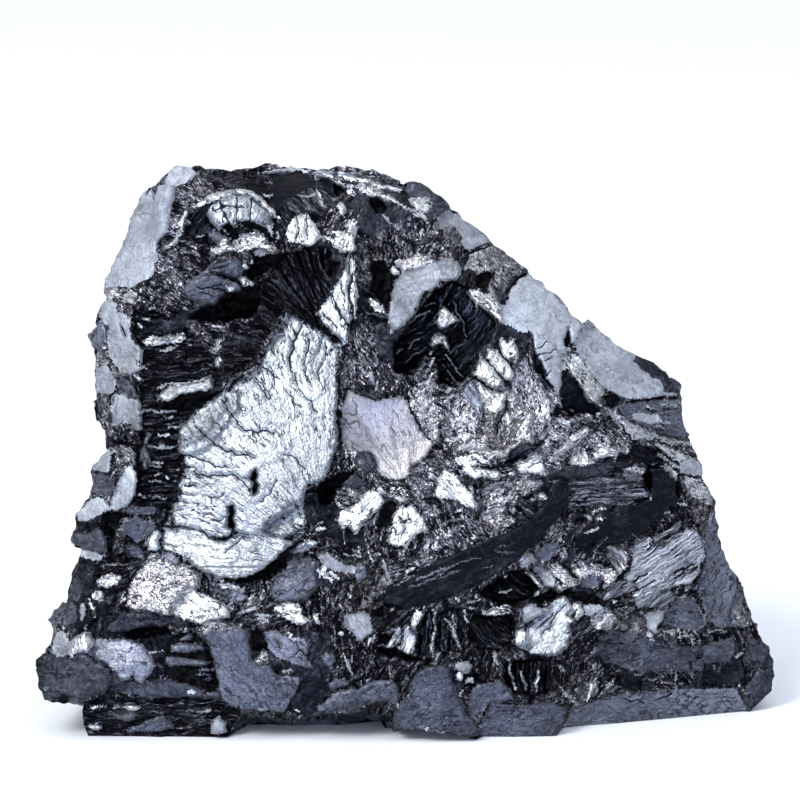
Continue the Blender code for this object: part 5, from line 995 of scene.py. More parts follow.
def splinters():
    """Small shards strewn over the ground between the large breaks, mostly along its grain."""
    dice = random.Random(SEED)
    made = []
    while len(made) < SPLINTERS:
        s, t = dice.uniform(*SPLINTER_S), dice.uniform(*SPLINTER_T)
        angle = ground_angle(s, t) + dice.gauss(0, SPLINTER_TURN)
        length, width = dice.uniform(*SPLINTER_LENGTH), dice.uniform(*SPLINTER_WIDTH)
        finish, tone = dice.choice(SPLINTER_LOOKS)
        sink = dice.uniform(*SPLINTER_SINK)
        yaw, pitch = (slope + dice.gauss(0, SPLINTER_TILT) for slope in base_tilt(s, t))
        tone += dice.uniform(*SPLINTER_TONE)
        if distance_to(CLOSED_OUTLINE, np.array([s]), np.array([t]))[0] > SPLINTER_INSIDE:
            cos, sin = math.cos(angle), math.sin(angle)
            corners = [(a * length, b * width) for a, b in SPLINTER_SHAPE]
            outline = [(s + a * cos - b * sin, t + a * sin + b * cos) for a, b in corners]
            made.append(Facet("splinter", finish, tone, sink, yaw, pitch, 0, outline))
    return made


def sliver(finish, tone, sink, width, points):
    """A thin shard or seam along a line, pointed at both ends."""
    line = wandering(points)
    count = len(line) - 1
    phases = [SLIVER_TIP + (1 - 2 * SLIVER_TIP) * i / count for i in range(count + 1)]
    swell = [width * math.sin(math.pi * phase) ** SLIVER_SWELL for phase in phases]
    right, left = moved(line, swell), moved(line, [-w for w in swell])
    return Facet("sliver", finish, tone, sink, *base_tilt(*line[count // 2]), 0, right + left[::-1])


def top_facets(facets, s, t):
    """For each point, the number of the facet on top there, or -1 between facets."""
    found = np.full(len(s), -1)
    for k, facet in enumerate(facets):
        found[facet.covers(s, t)] = k
    return found


def crack_depth(s, t):
    """How far the cracks sink in at each point, and how much painted shade lies in them."""
    depth = np.zeros(len(s))
    # painted shade inside the cracks
    dark = np.zeros(len(s))
    for width, sink, line in WANDERED:
        low, high = np.min(line, 0) - 1, np.max(line, 0) + 1
        near = np.flatnonzero((s > low[0]) & (s < high[0]) & (t > low[1]) & (t < high[1]))
        if not len(near):
            continue
        ends = np.minimum(np.hypot(s[near] - line[0][0], t[near] - line[0][1]),
                          np.hypot(s[near] - line[-1][0], t[near] - line[-1][1]))
        reach = width * np.clip(CRACK_TIP + ends * CRACK_WIDENS, 0, 1)
        share = np.clip(1 - distance_to(line, s[near], t[near]) / reach, 0, 1)
        depth[near] = np.maximum(depth[near], share * sink)
        dark[near] = np.maximum(dark[near], share)
    return depth, dark


def edge_marks(facets, top, s, t):
    """How near each point is to its facet's edge, and how much painted shadow it gets in the gap beside a
    facet.
    """
    edge = np.zeros(len(s))
    gap = np.zeros(len(s))
    finish = np.array([facet.finish for facet in facets] + [""])[top]
    for k, facet in enumerate(facets):
        if facet.name == "splinter" or facet.name in SEAMLESS:
            continue
        near = facet.near(s, t, 0.5)
        away = distance_to(facet.outline + facet.outline[:1], s[near], t[near])
        own = top[near] == k
        fade = min(EDGE_FADE[1], max(EDGE_FADE[0], EDGE_FADE_SHARE * facet.radius))
        edge[near] = np.where(own, np.clip(1 - away / fade, 0, 1), edge[near])
        spots = np.clip(GAP_SHADOW + GAP_SWING * wave(s[near], t[near], GAP_SPOTS, 4), 0, GAP_SHADOW_MOST)
        shade = spots * np.clip(1 - away / GAP, 0, 1)
        shade *= np.where(finish[near] == facet.finish, GAP_ALIKE, GAPS.get(facet.finish, 1))
        beneath = ~own & (top[near] < k)
        gap[near] = np.where(beneath, np.maximum(gap[near], shade), gap[near])
    return edge, gap


def front_surface(facets, s, t):
    """Depth, painted shade in a crack or gap, and nearness to the facet's edge at every point of the front.
    """
    top = top_facets(facets, s, t)
    depth = front_base(s, t)
    free = top < 0
    for cells, height, tilt in GROUND_GRAINS:
        depth[free] += grain_relief(cells, s[free], t[free], height, tilt)
    for k, facet in enumerate(facets):
        own = np.flatnonzero(top == k)
        if len(own):
            a, b = s[own], t[own]
            along, across = facet.grain(a, b)
            depth[own] = facet.depth_at(a, b) + relief_of(facet.finish, along, across, a, b, k * 3.1)
    sink, dark = crack_depth(s, t)
    edge, gap = edge_marks(facets, top, s, t)
    return depth + sink, np.maximum(dark, gap), edge


# ---- points of the front

class PointSet:
    """Points that keep their distance from each other."""

    def __init__(self):
        self.points = []
        self.boxes = {}

    def put(self, s, t):
        """Takes the point in and returns its number."""
        self.boxes.setdefault((int(s // BOX), int(t // BOX)), []).append(len(self.points))
        self.points.append((s, t))
        return len(self.points) - 1

    def add(self, s, t, gap):
        """The point's number, or None when another stands closer than the gap."""
        i, j = int(s // BOX), int(t // BOX)
        for a, b in itertools.product((i - 1, i, i + 1), (j - 1, j, j + 1)):
            for k in self.boxes.get((a, b), ()):
                if math.hypot(self.points[k][0] - s, self.points[k][1] - t) < gap:
                    return None
        return self.put(s, t)


def seen(facets, k, ring):
    """The ring with None wherever a later facet lies over it."""
    s, t = np.array(ring).T
    own = np.zeros(len(s), bool)
    own[facets[k].covers(s, t)] = True
    for other in facets[k + 1:]:
        if (other.low < facets[k].high).all() and (other.high > facets[k].low).all():
            own[other.covers(s, t)] = False
    return [point if keep else None for point, keep in zip(ring, own)]


def add_line(kept, lines, points, rim, closed):
    """Adds the points and joins neighbours that both found room."""
    real = [point for point in points if point is not None]
    if not real:
        return
    s, t = np.array(real).T
    inside = dict(zip(real, holds(rim, s, t)))
    numbers = [kept.add(*p, LINE_KEEP_OFF) if p is not None and inside[p] else None for p in points]
    following = numbers[1:] + (numbers[:1] if closed else [None])
    lines += [(a, b) for a, b in zip(numbers, following) if a is not None and b is not None]


def front_points(facets, rim):
    """The rim, a ring on each side of every facet's edge, the cracks, then an even spread."""
    kept = PointSet()
    for point in rim:
        kept.put(*point)
    lines = [(i, (i + 1) % len(rim)) for i in range(len(rim))]
    for _, _, line in WANDERED:
        add_line(kept, lines, line, rim, False)
    for k, facet in enumerate(facets):
        add_line(kept, lines, seen(facets, k, moved_out(facet.outline, -EDGE_WALL)), rim, True)
        add_line(kept, [], moved_out(facet.outline, EDGE_WALL), rim, True)
    for width, _, line in WANDERED:
        for side in (-1, 1):
            add_line(kept, [], beside(line, side * width), rim, False)
    dice = random.Random(SEED)
    spread = []
    for i, j in itertools.product(COLUMNS, ROWS):
        s = (i + 0.5 * (j % 2) + dice.uniform(-STRAY, STRAY)) * FINE
        t = (j + dice.uniform(-STRAY, STRAY)) * FINE * ROW
        spread.append((s, t))
    spread = np.array(spread)
    for s, t in spread[holds(rim, spread[:, 0], spread[:, 1])]:
        kept.add(float(s), float(t), FINE * KEEP_OFF)
    return kept.points, lines


# ---- the stone's mesh

def place(s, t, depth):
    """From the leaning plane of the front to the stone's own place, in metres."""
    return Vector((s, t * SIN + depth * COS - MIDDLE_Y, t * COS - depth * SIN)) * MM


def on_front(co):
    """Where a point of the stone falls on the leaning plane."""
    y, z = co.y / MM + MIDDLE_Y, co.z / MM
    return co.x / MM, y * SIN + z * COS


def is_wall(face):
    """Whether the face runs nearly straight into the depth."""
    return abs(face.normal.dot(INWARD)) < STEEP


def on_base(face):
    return all(abs(v.co.z) < 1e-6 for v in face.verts)


def from_middle(face):
    """How far the face is from a place well inside the front."""
    s, t = on_front(face.calc_center_median())
    return math.hypot(s + 20, t - 40)


def rim_edges(mesh):
    """The solid's edges along the outline of the front."""
    middles = np.array([on_front(e.verts[0].co.lerp(e.verts[1].co, 0.5)) for e in mesh.edges])
    ends = np.array([on_front(v.co) for v in mesh.verts])
    middle_near = distance_to(CLOSED_OUTLINE, middles[:, 0], middles[:, 1]) < RIM_NEAR
    end_near = distance_to(CLOSED_OUTLINE, ends[:, 0], ends[:, 1]) < RIM_NEAR
    mesh.verts.index_update()
    mesh.edges.index_update()
    return {e for e in mesh.edges if middle_near[e.index] and all(end_near[v.index] for v in e.verts)}


def open_front(mesh):
    """Takes the coarse front off the solid."""
    rim = rim_edges(mesh)
    start = min((f for f in mesh.faces if f.normal.y < -0.5), key=from_middle)
    front, waiting = {start}, [start]
    while waiting:
        for edge in waiting.pop().edges:
            for face in edge.link_faces:
                if edge not in rim and face not in front and not on_base(face):
                    front.add(face)
                    waiting.append(face)
    bmesh.ops.delete(mesh, geom=list(front), context="FACES")


def open_rim(mesh):
    """The open edges round the missing front."""
    return [e for e in mesh.edges if e.is_boundary]


def in_order(rim):
    """The rim's vertices, one after another."""
    first = rim[0].verts[0]
    ring, edge = [first], rim[0]
    rim = set(rim)
    here = edge.other_vert(first)
    while here is not first:
        ring.append(here)
        edge = next(e for e in here.link_edges if e in rim and e is not edge)
        here = edge.other_vert(here)
    return ring


def roughen_rim(rim):
    """Gives the silhouette its small chips."""
    for vert in rim:
        if vert.co.z > RIM_ABOVE * MM:
            push = Vector()
            for waves, height in RIM_CHIPS:
                push += noise.noise_vector(vert.co / MM * waves) * height
            vert.co += Vector((push.x, push.y * RIM_DEEPER, push.z)) * MM


def lay_front(mesh, facets):
    """Fills the open front with the fine surface and returns its faces."""
    bmesh.ops.subdivide_edges(mesh, edges=open_rim(mesh), cuts=RIM_CUTS)
    rim = in_order(open_rim(mesh))
    roughen_rim(rim)
    points, lines = front_points(facets, [on_front(v.co) for v in rim])
    only_inside = 1
    places, _, triangles, sources, _, _ = delaunay_2d_cdt(
        [Vector(p) for p in points], lines, [list(range(len(rim)))], only_inside, WELD)
    s, t = np.array([tuple(p) for p in places]).T
    depth, dark, near_edge = front_surface(facets, s, t)
    crack, edge = mesh.verts.layers.float["crack"], mesh.verts.layers.float["edge"]
    verts = []
    for i, source in enumerate(sources):
        on_rim = [k for k in source if k < len(rim)]
        if on_rim:
            verts.append(rim[on_rim[0]])
            continue
        vert = mesh.verts.new(place(s[i], t[i], depth[i]))
        vert.co.z = max(vert.co.z, LOWEST * MM)
        # the crack layer holds painted shade of cracks and gaps; the edge layer, nearness to a facet's edge
        # for its painted edge shade
        vert[crack], vert[edge] = dark[i], near_edge[i]
        verts.append(vert)
    faces = []
    for numbers in triangles:
        corners = [verts[k] for k in numbers]
        if len(set(corners)) == 3 and not mesh.faces.get(corners):
            faces.append(mesh.faces.new(corners))
    return faces


def chip_height(p):
    """How far the chipped surface stands out at this point of the sides or back, in millimetres."""
    height = -REST_SINK
    for size, rise, tilt in REST_CHIPS:
        near = noise.voronoi(p / size)[1][0]
        twist = noise.noise_vector(near * 9.1)
        height += rise * twist.x + (p / size - near).dot(twist) * size * tilt
    return height


def refine_rest(mesh, front):
    """Divides the sides and the back finely and breaks them into chips; the base stays flat."""
    front = set(front)
    for _ in range(REST_ROUNDS):
        long_edges = [e for e in mesh.edges if e.calc_length() > REST_EDGE * MM and not e.is_boundary
                      and not any(f in front or on_base(f) for f in e.link_faces)]
        if not long_edges:
            break
        bmesh.ops.subdivide_edges(mesh, edges=long_edges, cuts=1)
        bmesh.ops.triangulate(mesh, faces=[f for f in mesh.faces if len(f.verts) > 3])
    fixed = {v for f in front for v in f.verts}
    moves = []
    for vert in {v for f in mesh.faces if f not in front and not on_base(f) for v in f.verts}:
        if vert not in fixed and vert.co.z > REST_ABOVE * MM:
            moves.append((vert, vert.normal * chip_height(vert.co / MM) * MM))
    for vert, move in moves:
        vert.co += move
        vert.co.z = max(vert.co.z, LOWEST * MM)


# ---- finish, tone and grain of each face

GROUND_TONE, GROUND_WEIGHT = 0.2, 0.02  # tone of the ground outside its zones, and how much it weighs
# Zones of the ground: middle, reach and tone. Their tones hold the ground's own lightness with painted light
# and
# shade: lighter where the ground catches the light, darker where it lies in shade.
GROUND_ZONES = (
    (-31, 68, 5, 0.38), (-33, 60, 5, 0.30), (-31, 42, 8, 0.06), (-13, 69, 6, 0.20), (0, 67, 7, 0.38),
    (-4, 48, 6, 0.22), (-2, 58, 5, 0.18), (8, 62, 5, 0.35), (18, 38, 6, 0.66), (10, 31, 6, 0.52),
    (0, 29, 6, 0.34), (-12, 22, 6, 0.22), (26, 16, 9, 0.20), (14, 12, 6, 0.14), (-41, 26, 7, 0.14),
    (-36, 20, 6, 0.26), (-13, 10, 8, 0.18), (33, 27, 8, 0.16), (-45, 12, 6, 0.10), (24, 54, 5, 0.40),
    (12, 44, 6, 0.40), (-41.5, 53, 3, 0.42), (-41.5, 46, 4, 0.40), (-41, 39, 4, 0.34),
)
# Finish of a patch of the ground: the first whose limit its random number stays under, and its share of
# the tone there.
GROUND_LOOKS = ((-0.72, "slate", 0.7), (-0.45, "ribbed", 0.7), (0.75, "matrix", 1), (math.inf, "sugar", 1))
PATCH_WANDER, PATCH_WAVE = 0.5, 2.0  # how far a patch's edge wanders, and over what length
PATCH_TONE, PATCH_TURN = 0.16, 0.7  # how far its tone and its grain differ from its neighbours'
# Finish of a chip of the sides and back: limit as above, finish, tone, and the number's share of the tone.
SIDE_LOOKS = ((0.40, "slate", 0.3, 0.5), (0.54, "matrix", 0.40, 0.0), (0.64, "frost", 0.2, 0.4),
              (0.70, "silver", 0.4, 0.3), (math.inf, "ribbed", 0.3, 0.0))
SIDE_CHIP = 9.0  # size of these chips
SIDE_BEDS = Vector((0.3, 1, 0.2)).normalized()  # their grain lies square to this
FACET_UNEVEN, FACET_CLOUD = 0.3, 6  # how far a facet's tone varies, and over what length


def facet_numbers(facets, faces):
    """Facet number of each of these faces, by its middle, or -1 on the ground.

    A wall belongs to the large facet that stands nearest.
    """
    middles = np.array([on_front(f.calc_center_median()) for f in faces])
    nearest = np.array([on_front(min(f.verts, key=lambda v: v.co.dot(INWARD)).co) for f in faces])
    walls = np.array([is_wall(f) for f in faces])
    top = top_facets(facets, middles[:, 0], middles[:, 1])
    upper = top_facets(facets, nearest[:, 0], nearest[:, 1])
    large = np.array([f.radius > SLIM for f in facets] + [True])[upper]
    return np.where(walls & large, upper, top)


def ground_tone(s, t):
    """How light the ground is here, its painted light and shade included: each zone fades out from its
    middle.
    """
    level, weight = GROUND_WEIGHT * GROUND_TONE, GROUND_WEIGHT
    for s0, t0, reach, tone in GROUND_ZONES:
        share = math.exp(-((s - s0) ** 2 + (t - t0) ** 2) / (reach * reach))
        level += share * tone
        weight += share
    return level / weight


def ground_patches(faces):
    """Middle and random numbers of the patch that each face of the ground is in."""
    s, t = np.array([on_front(f.calc_center_median()) for f in faces]).T
    s, t = s + PATCH_WANDER * wave(s, t, PATCH_WAVE, 1), t + PATCH_WANDER * wave(s, t, PATCH_WAVE, 2)
    offset, values = PATCHES.nearest(s, t)
    return dict(zip(faces, zip(s - offset[:, 0], t - offset[:, 1], values)))


def ground_look(face, s0, t0, picks):
    """Finish, tone and grain of a face of the ground."""
    finish, share = next(look for limit, *look in GROUND_LOOKS if picks[2] < limit)
    level = (ground_tone(s0, t0) + PATCH_TONE * picks[1]) * share
    angle = ground_angle(s0, t0) + PATCH_TURN * picks[0]
    cos, sin = math.cos(angle), math.sin(angle)
    grain = []
    for loop in face.loops:
        s, t = on_front(loop.vert.co)
        s, t = s - s0, t - t0
        grain.append((s * cos + t * sin + s0 * 3, t * cos - s * sin + t0 * 5))
    return finish, level, grain


def side_look(face):
    """Finish, tone and grain of a face of the sides, back or base: each large chip has its own."""
    p = face.calc_center_median() / MM
    near = noise.voronoi(p / SIDE_CHIP + noise.noise_vector(p * 0.2) * 0.12)[1][0]
    along = noise.noise_vector(near * 5.3).normalized()
    across = along.cross(SIDE_BEDS).normalized()
    pick = noise.noise(near * 3.7) * 0.5 + 0.5 + 0.12 * noise.noise(p * 0.35)
    finish, tone, share = next(look for limit, *look in SIDE_LOOKS if pick < limit)
    corners = [loop.vert.co / MM for loop in face.loops]
    return finish, tone + share * pick, [(c.dot(along), c.dot(across)) for c in corners]


def facet_look(face, facet, k):
    """Finish, tone and grain of a face of one facet; the walls' grain runs into the depth too."""
    corners = [loop.vert.co for loop in face.loops]
    s, t = np.array([on_front(co) for co in corners]).T
    cloud = noise.noise((s[0] / FACET_CLOUD, t[0] / FACET_CLOUD, k * 3.7))
    along, across = facet.grain(s, t)
    deep = [co.dot(INWARD) / MM if is_wall(face) else 0.0 for co in corners]
    grain = [(a + d + k * 17.0, b + 0.6 * d + k * 5.0) for a, b, d in zip(along, across, deep)]
    return facet.finish, facet.tone * (1 + FACET_UNEVEN * cloud), grain


def paint(mesh, facets, front):
    """Gives every face its finish, its tone and the direction of its grain."""
    uv = mesh.loops.layers.uv["grain"]
    tone = mesh.loops.layers.float["tone"]
    number = dict(zip(front, facet_numbers(facets, front)))
    ground = ground_patches([f for f in front if number[f] < 0])
    for face in mesh.faces:
        k = number.get(face)
        if k is None:
            finish, level, grain = side_look(face)
        elif k < 0:
            finish, level, grain = ground_look(face, *ground[face])
        else:
            finish, level, grain = facet_look(face, facets[k], k)
        face.material_index = FINISH_NAMES.index(finish)
        for loop, point in zip(face.loops, grain):
            loop[uv].uv = point
            loop[tone] = level


# ---- finishes

BEND, BEND_SIZE = 1.3, 1.8  # how far the grain is bent aside, and the size of the bends, in millimetres
CLOUD_SIZE, FRAY_SIZE = 3.0, 0.6  # size of the clouds and of what crumbles an edge, in millimetres
GLINT_POWER, GLINT_MIDDLE = 2.2, 0.3  # how rare the painted glints of bright grains are, and which grains are neither light nor dark
WIRE_SEEN, WIRE_TONE = (0.42, 0.58), 0.45  # where bright lines show in the grain, and how light they are
HAIR_SEEN = (0.42, 0.56, 0.25, 1.0)  # where hairlines show in the clouds, and how much, from least to most
EDGE_FRAY, EDGE_RAMP, EDGE_DIM = 1.2, 0.1, 0.85  # painted shade along a facet's edge: how frayed, how soft, how dark
CRACK_FRAY, CRACK_RAMP, CRACK_DIM = 0.8, (0.52, 0.74), 0.96  # the same for the painted shade in cracks and gaps
CONTRAST = 1.5


def linear(hex_colour):
    """An sRGB hex value as a linear colour."""
    parts = [int(hex_colour[i:i + 2], 16) / 255 for i in (1, 3, 5)]
    return tuple(p / 12.92 if p < 0.04045 else ((p + 0.055) / 1.055) ** 2.4 for p in parts) + (1,)


def node(tree, kind, links=None, **settings):
    """Adds a node, sets it up and links or fills its inputs."""
    made = tree.nodes.new("ShaderNode" + kind)
    for name, value in settings.items():
        setattr(made, name, value)
    for name, value in (links or {}).items():
        if isinstance(value, bpy.types.NodeSocket):
            tree.links.new(value, made.inputs[name])
        else:
            made.inputs[name].default_value = value
    return made


def math_of(tree, operation, a, b=0.0, c=0.0, clamp=False):
    return node(tree, "Math", {0: a, 1: b, 2: c}, operation=operation, use_clamp=clamp).outputs[0]


def stretched(tree, grain, length, width):
    return node(tree, "Mapping", {"Vector": grain, "Scale": (1 / length, 1 / width, 1)}).outputs[0]


def grain_noise(tree, grain, length, width):
    """Noise drawn out along the grain."""
    return node(tree, "TexNoise", {"Vector": stretched(tree, grain, length, width), "Scale": 1.0,
                                   "Detail": 3.0, "Roughness": 0.55}).outputs["Fac"]


def ramp(tree, value, low, high, at_low=0.0, at_high=1.0):
    return node(tree, "MapRange", {"Value": value, 1: low, 2: high, 3: at_low, 4: at_high},
                interpolation_type="SMOOTHSTEP").outputs[0]


def contours(tree, grain, length, width, lines, thick):
    """Thin wandering lines: the contour lines of a noise drawn out along the grain."""
    swell = math_of(tree, "SUBTRACT", grain_noise(tree, grain, length, width), 0.5)
    folded = math_of(tree, "PINGPONG", math_of(tree, "MULTIPLY", swell, lines), 0.5)
    return ramp(tree, folded, thick * 0.5, thick, 1.0, 0.0)


def added(tree, level, value, middle, strength):
    """level + (value - middle) * strength"""
    return math_of(tree, "MULTIPLY_ADD", math_of(tree, "SUBTRACT", value, middle), strength, level)


def dimmed(tree, level, mask, strength):
    """level * (1 - mask * strength)"""
    return math_of(tree, "MULTIPLY", level, math_of(tree, "MULTIPLY_ADD", mask, -strength, 1.0))


NO_WIRE = (2, 1, 2, 0.1, 0)  # a finish without bright lines
# Each finish: what it is, then what it gives the eye. Lengths and widths are millimetres.
# dark, light: the ends of its colour. streak, chips: length and width along and across the grain,
# strength. hair, worm, wire: length, width, lines per swell, thickness, strength; the first two are
# dark lines and the last bright ones. speck: size of its grains, strength of their painted glints.
# bite: how far the painted shade along its edge reaches in. bump: height of grain and of grains.
FINISHES = {
    # fresh shell-like break: bright as tin, with dark hairlines that follow the fan
    "fan": dict(dark="#0c0e18", light="#c9d2da", metal=0.8, rough=(0.38, 0.1), streak=(5, 0.5, 0.34),
                chips=(6, 2.2, 0.06), hair=(6, 1, 4, 0.085, 0.9), worm=(1.6, 0.5, 4, 0.1, 0.5),
                wire=NO_WIRE, cloud=0.5, speck=(0.36, 0.15), bite=0.1, bump=(0.045, 0.03)),
    # small fresh break: the brightest, nearly smooth
    "silver": dict(dark="#0a0a13", light="#d3d8dc", metal=0.8, rough=(0.34, 0.12), streak=(2.6, 0.5, 0.35),
                   chips=(2.6, 1, 0.1), hair=(3, 1.1, 4, 0.12, 0.85), worm=(1.2, 0.5, 4, 0.13, 0.45),
                   wire=NO_WIRE, cloud=0.4, speck=(0.36, 0.2), bite=0.05, bump=(0.07, 0.04)),
    # break with rings like a shell's
    "ringed": dict(dark="#0f0d15", light="#d6d6de", metal=0.8, rough=(0.34, 0.14), streak=(5, 0.35, 1.2),
                   chips=(3, 1.2, 0.2), hair=(7, 0.7, 4, 0.15, 0.9), worm=(1, 0.5, 4, 0.15, 0.4),
                   wire=NO_WIRE, cloud=0.6, speck=(0.4, 0.2), bite=0.1, bump=(0.1, 0.05)),
    # smooth satin petal
    "shell": dict(dark="#1a1823", light="#b0afb4", metal=0.8, rough=(0.38, 0.08), streak=(7, 0.5, 0.35),
                  chips=(6, 2.5, 0.04), hair=(7, 1.8, 4, 0.1, 0.5), worm=(2, 0.6, 4, 0.12, 0.3),
                  wire=NO_WIRE, cloud=0.55, speck=(0.32, 0.2), bite=0.05, bump=(0.05, 0.02)),
    # older, weathered break: grey-blue and frosted
    "frost": dict(dark="#10121c", light="#c8cfd9", metal=0.5, rough=(0.5, 0.12), streak=(2, 1, 0.28),
                  chips=(2.8, 1.8, 0.06), hair=(4, 3, 3, 0.06, 0.28), worm=(1.2, 0.9, 3, 0.1, 0.12),
                  wire=NO_WIRE, cloud=0.65, speck=(0.38, 0.25), bite=0.02, bump=(0.05, 0.05)),
    # smooth blue-black slab with faint bright hairlines
    "slate": dict(dark="#070813", light="#8c91a0", metal=0.85, rough=(0.42, 0.12), streak=(4, 0.7, 0.35),
                  chips=(5, 2.4, 0.1), hair=(4, 2, 3, 0.07, 0.6), worm=(1.4, 0.8, 3, 0.11, 0.35),
                  wire=(5, 0.8, 4, 0.07, 0.65), cloud=0.75, speck=(0.36, 0.3), bite=0, bump=(0.05, 0.04)),
    # crushed, sugary grains that glitter
    "sugar": dict(dark="#08060e", light="#d9d8de", metal=0.88, rough=(0.34, 0.16), streak=(1.3, 0.5, 0.8),
                  chips=(1.6, 0.8, 0.25), hair=(1.2, 0.7, 4, 0.18, 0.85), worm=(0.7, 0.45, 4, 0.18, 0.6),
                  wire=(1.1, 0.5, 4, 0.14, 0.9), cloud=0.7, speck=(0.28, 0.4), bite=0.2, bump=(0.06, 0.07)),
    # the coarse ground between the breaks: black cells outlined by violet-white glints
    "matrix": dict(dark="#06050e", light="#dcdbe6", metal=0.92, rough=(0.34, 0.16), streak=(1.7, 0.5, 1.1),
                   chips=(2.4, 1.1, 0.6), hair=(1.8, 0.8, 4, 0.22, 0.9), worm=(0.8, 0.45, 4, 0.22, 0.8),
                   wire=(1.3, 0.55, 4, 0.18, 1), cloud=1.3, speck=(0.3, 0.35), bite=0.3, bump=(0.08, 0.08)),
    # slab with fine parallel scratches
    "striped": dict(dark="#0b0c13", light="#b9bec9", metal=0.88, rough=(0.38, 0.14), streak=(9, 0.28, 1.8),
                    chips=(6, 1.2, 0.2), hair=(10, 0.5, 4, 0.16, 0.85), worm=(3, 0.35, 4, 0.16, 0.5),
                    wire=(9, 0.6, 4, 0.12, 0.8), cloud=0.6, speck=(0.36, 0.15), bite=0.1, bump=(0.1, 0.04)),
    # splintery black with bright ridges: painted highlights where the ridges catch the light
    "ribbed": dict(dark="#030207", light="#b4b6c6", metal=0.92, rough=(0.34, 0.16), streak=(4, 0.35, 1),
                   chips=(4, 0.9, 0.4), hair=(5, 0.7, 4, 0.2, 0.9), worm=(1.4, 0.4, 4, 0.2, 0.6),
                   wire=(5, 0.45, 4, 0.12, 0.9), cloud=1, speck=(0.36, 0.25), bite=0.15, bump=(0.12, 0.05)),
    # glassy hollow, almost black, with faint hairlines: the stone's own glossy black with painted shade of
    # the hollow
    "glass": dict(dark="#020204", light="#8488a0", metal=0.9, rough=(0.28, 0.12), streak=(6, 0.5, 0.6),
                  chips=(7, 1.6, 0.15), hair=(5, 1.2, 4, 0.15, 0.5), worm=(1.4, 0.4, 4, 0.15, 0.4),
                  wire=(9, 0.75, 4, 0.1, 1.2), cloud=0.6, speck=(0.4, 0.1), bite=0.1, bump=(0.06, 0.02)),
    # deep hole, painted near-black for the shade inside it
    "pit": dict(dark="#020203", light="#55525e", metal=0.8, rough=(0.55, 0.12), streak=(2, 0.6, 0.8),
                chips=(2.4, 1.2, 0.4), hair=(2, 1, 4, 0.2, 0.6), worm=(0.8, 0.4, 4, 0.2, 0.5),
                wire=(2, 0.8, 4, 0.1, 0.6), cloud=0.8, speck=(0.36, 0.2), bite=0.05, bump=(0.05, 0.06)),
}
FINISH_NAMES = list(FINISHES)


def solid_noise(tree, spot, size, detail, roughness=0.5, output="Fac"):
    """Noise all through the stone, with lumps of this many millimetres."""
    return node(tree, "TexNoise", {"Vector": spot, "Scale": 1 / MM / size, "Detail": detail,
                                   "Roughness": roughness}).outputs[output]


def random_of(tree, cells):
    """One random number for each cell."""
    return node(tree, "SeparateColor", {"Color": cells.outputs["Color"]}).outputs[0]


def bent_grain(tree, spot):
    """The grain's own coordinates, bent aside a little."""
    flat = node(tree, "UVMap", uv_map="grain").outputs[0]
    swirl = solid_noise(tree, spot, BEND_SIZE, 2.5, output="Color")
    swirl = node(tree, "VectorMath", {0: swirl, 1: (0.5, 0.5, 0.5)}, operation="SUBTRACT").outputs[0]
    return node(tree, "VectorMath", {0: swirl, 1: (BEND, BEND, 0), 2: flat},
                operation="MULTIPLY_ADD").outputs[0]


def lit_level(tree, tone, grain, lines, clouds, grains, streak, chips, wire, cloud, speck):
    """How light the break is before anything darkens it, painted glints included."""
    cells = stretched(tree, grain, chips[0], chips[1])
    chip = random_of(tree, node(tree, "TexVoronoi", {"Vector": cells, "Scale": 1.0}))
    level = added(tree, tone, lines, 0.5, streak[2])
    level = added(tree, level, chip, 0.5, chips[2])
    level = added(tree, level, clouds, 0.5, cloud)
    glint = math_of(tree, "POWER", random_of(tree, grains), GLINT_POWER)
    glint = math_of(tree, "SUBTRACT", glint, GLINT_MIDDLE)
    level = math_of(tree, "MULTIPLY_ADD", glint, speck[1] * 0.5, level, clamp=True)
    wires = math_of(tree, "MULTIPLY", contours(tree, grain, *wire[:4]), ramp(tree, lines, *WIRE_SEEN))
    wires = math_of(tree, "MULTIPLY", wires, math_of(tree, "ADD", tone, WIRE_TONE * wire[4]))
    return math_of(tree, "MAXIMUM", level, math_of(tree, "MULTIPLY", wires, wire[4]))


def darkened(tree, level, spot, grain, clouds, dark_hair, hair, worm, bite):
    """The level with its dark hairlines, painted shade along its frayed edges, and painted shade in its
    cracks and the gaps beside facets.
    """
    seen_hair = math_of(tree, "MULTIPLY", dark_hair, ramp(tree, clouds, *HAIR_SEEN))
    level = dimmed(tree, level, seen_hair, hair[4])
    level = dimmed(tree, level, contours(tree, grain, *worm[:4]), worm[4])
    fray = solid_noise(tree, spot, FRAY_SIZE, 3.0)
    crack, edge = (node(tree, "Attribute", attribute_name=a).outputs["Fac"] for a in ("crack", "edge"))
    # painted shade along the facet's edge, frayed by noise, then painted shade in cracks and gaps
    edge_shade = ramp(tree, added(tree, edge, fray, 0.5, EDGE_FRAY), 1 - bite, 1 + EDGE_RAMP - bite)
    crack_shade = ramp(tree, added(tree, crack, fray, 0.5, CRACK_FRAY), *CRACK_RAMP)
    return dimmed(tree, dimmed(tree, level, edge_shade, EDGE_DIM), crack_shade, CRACK_DIM)


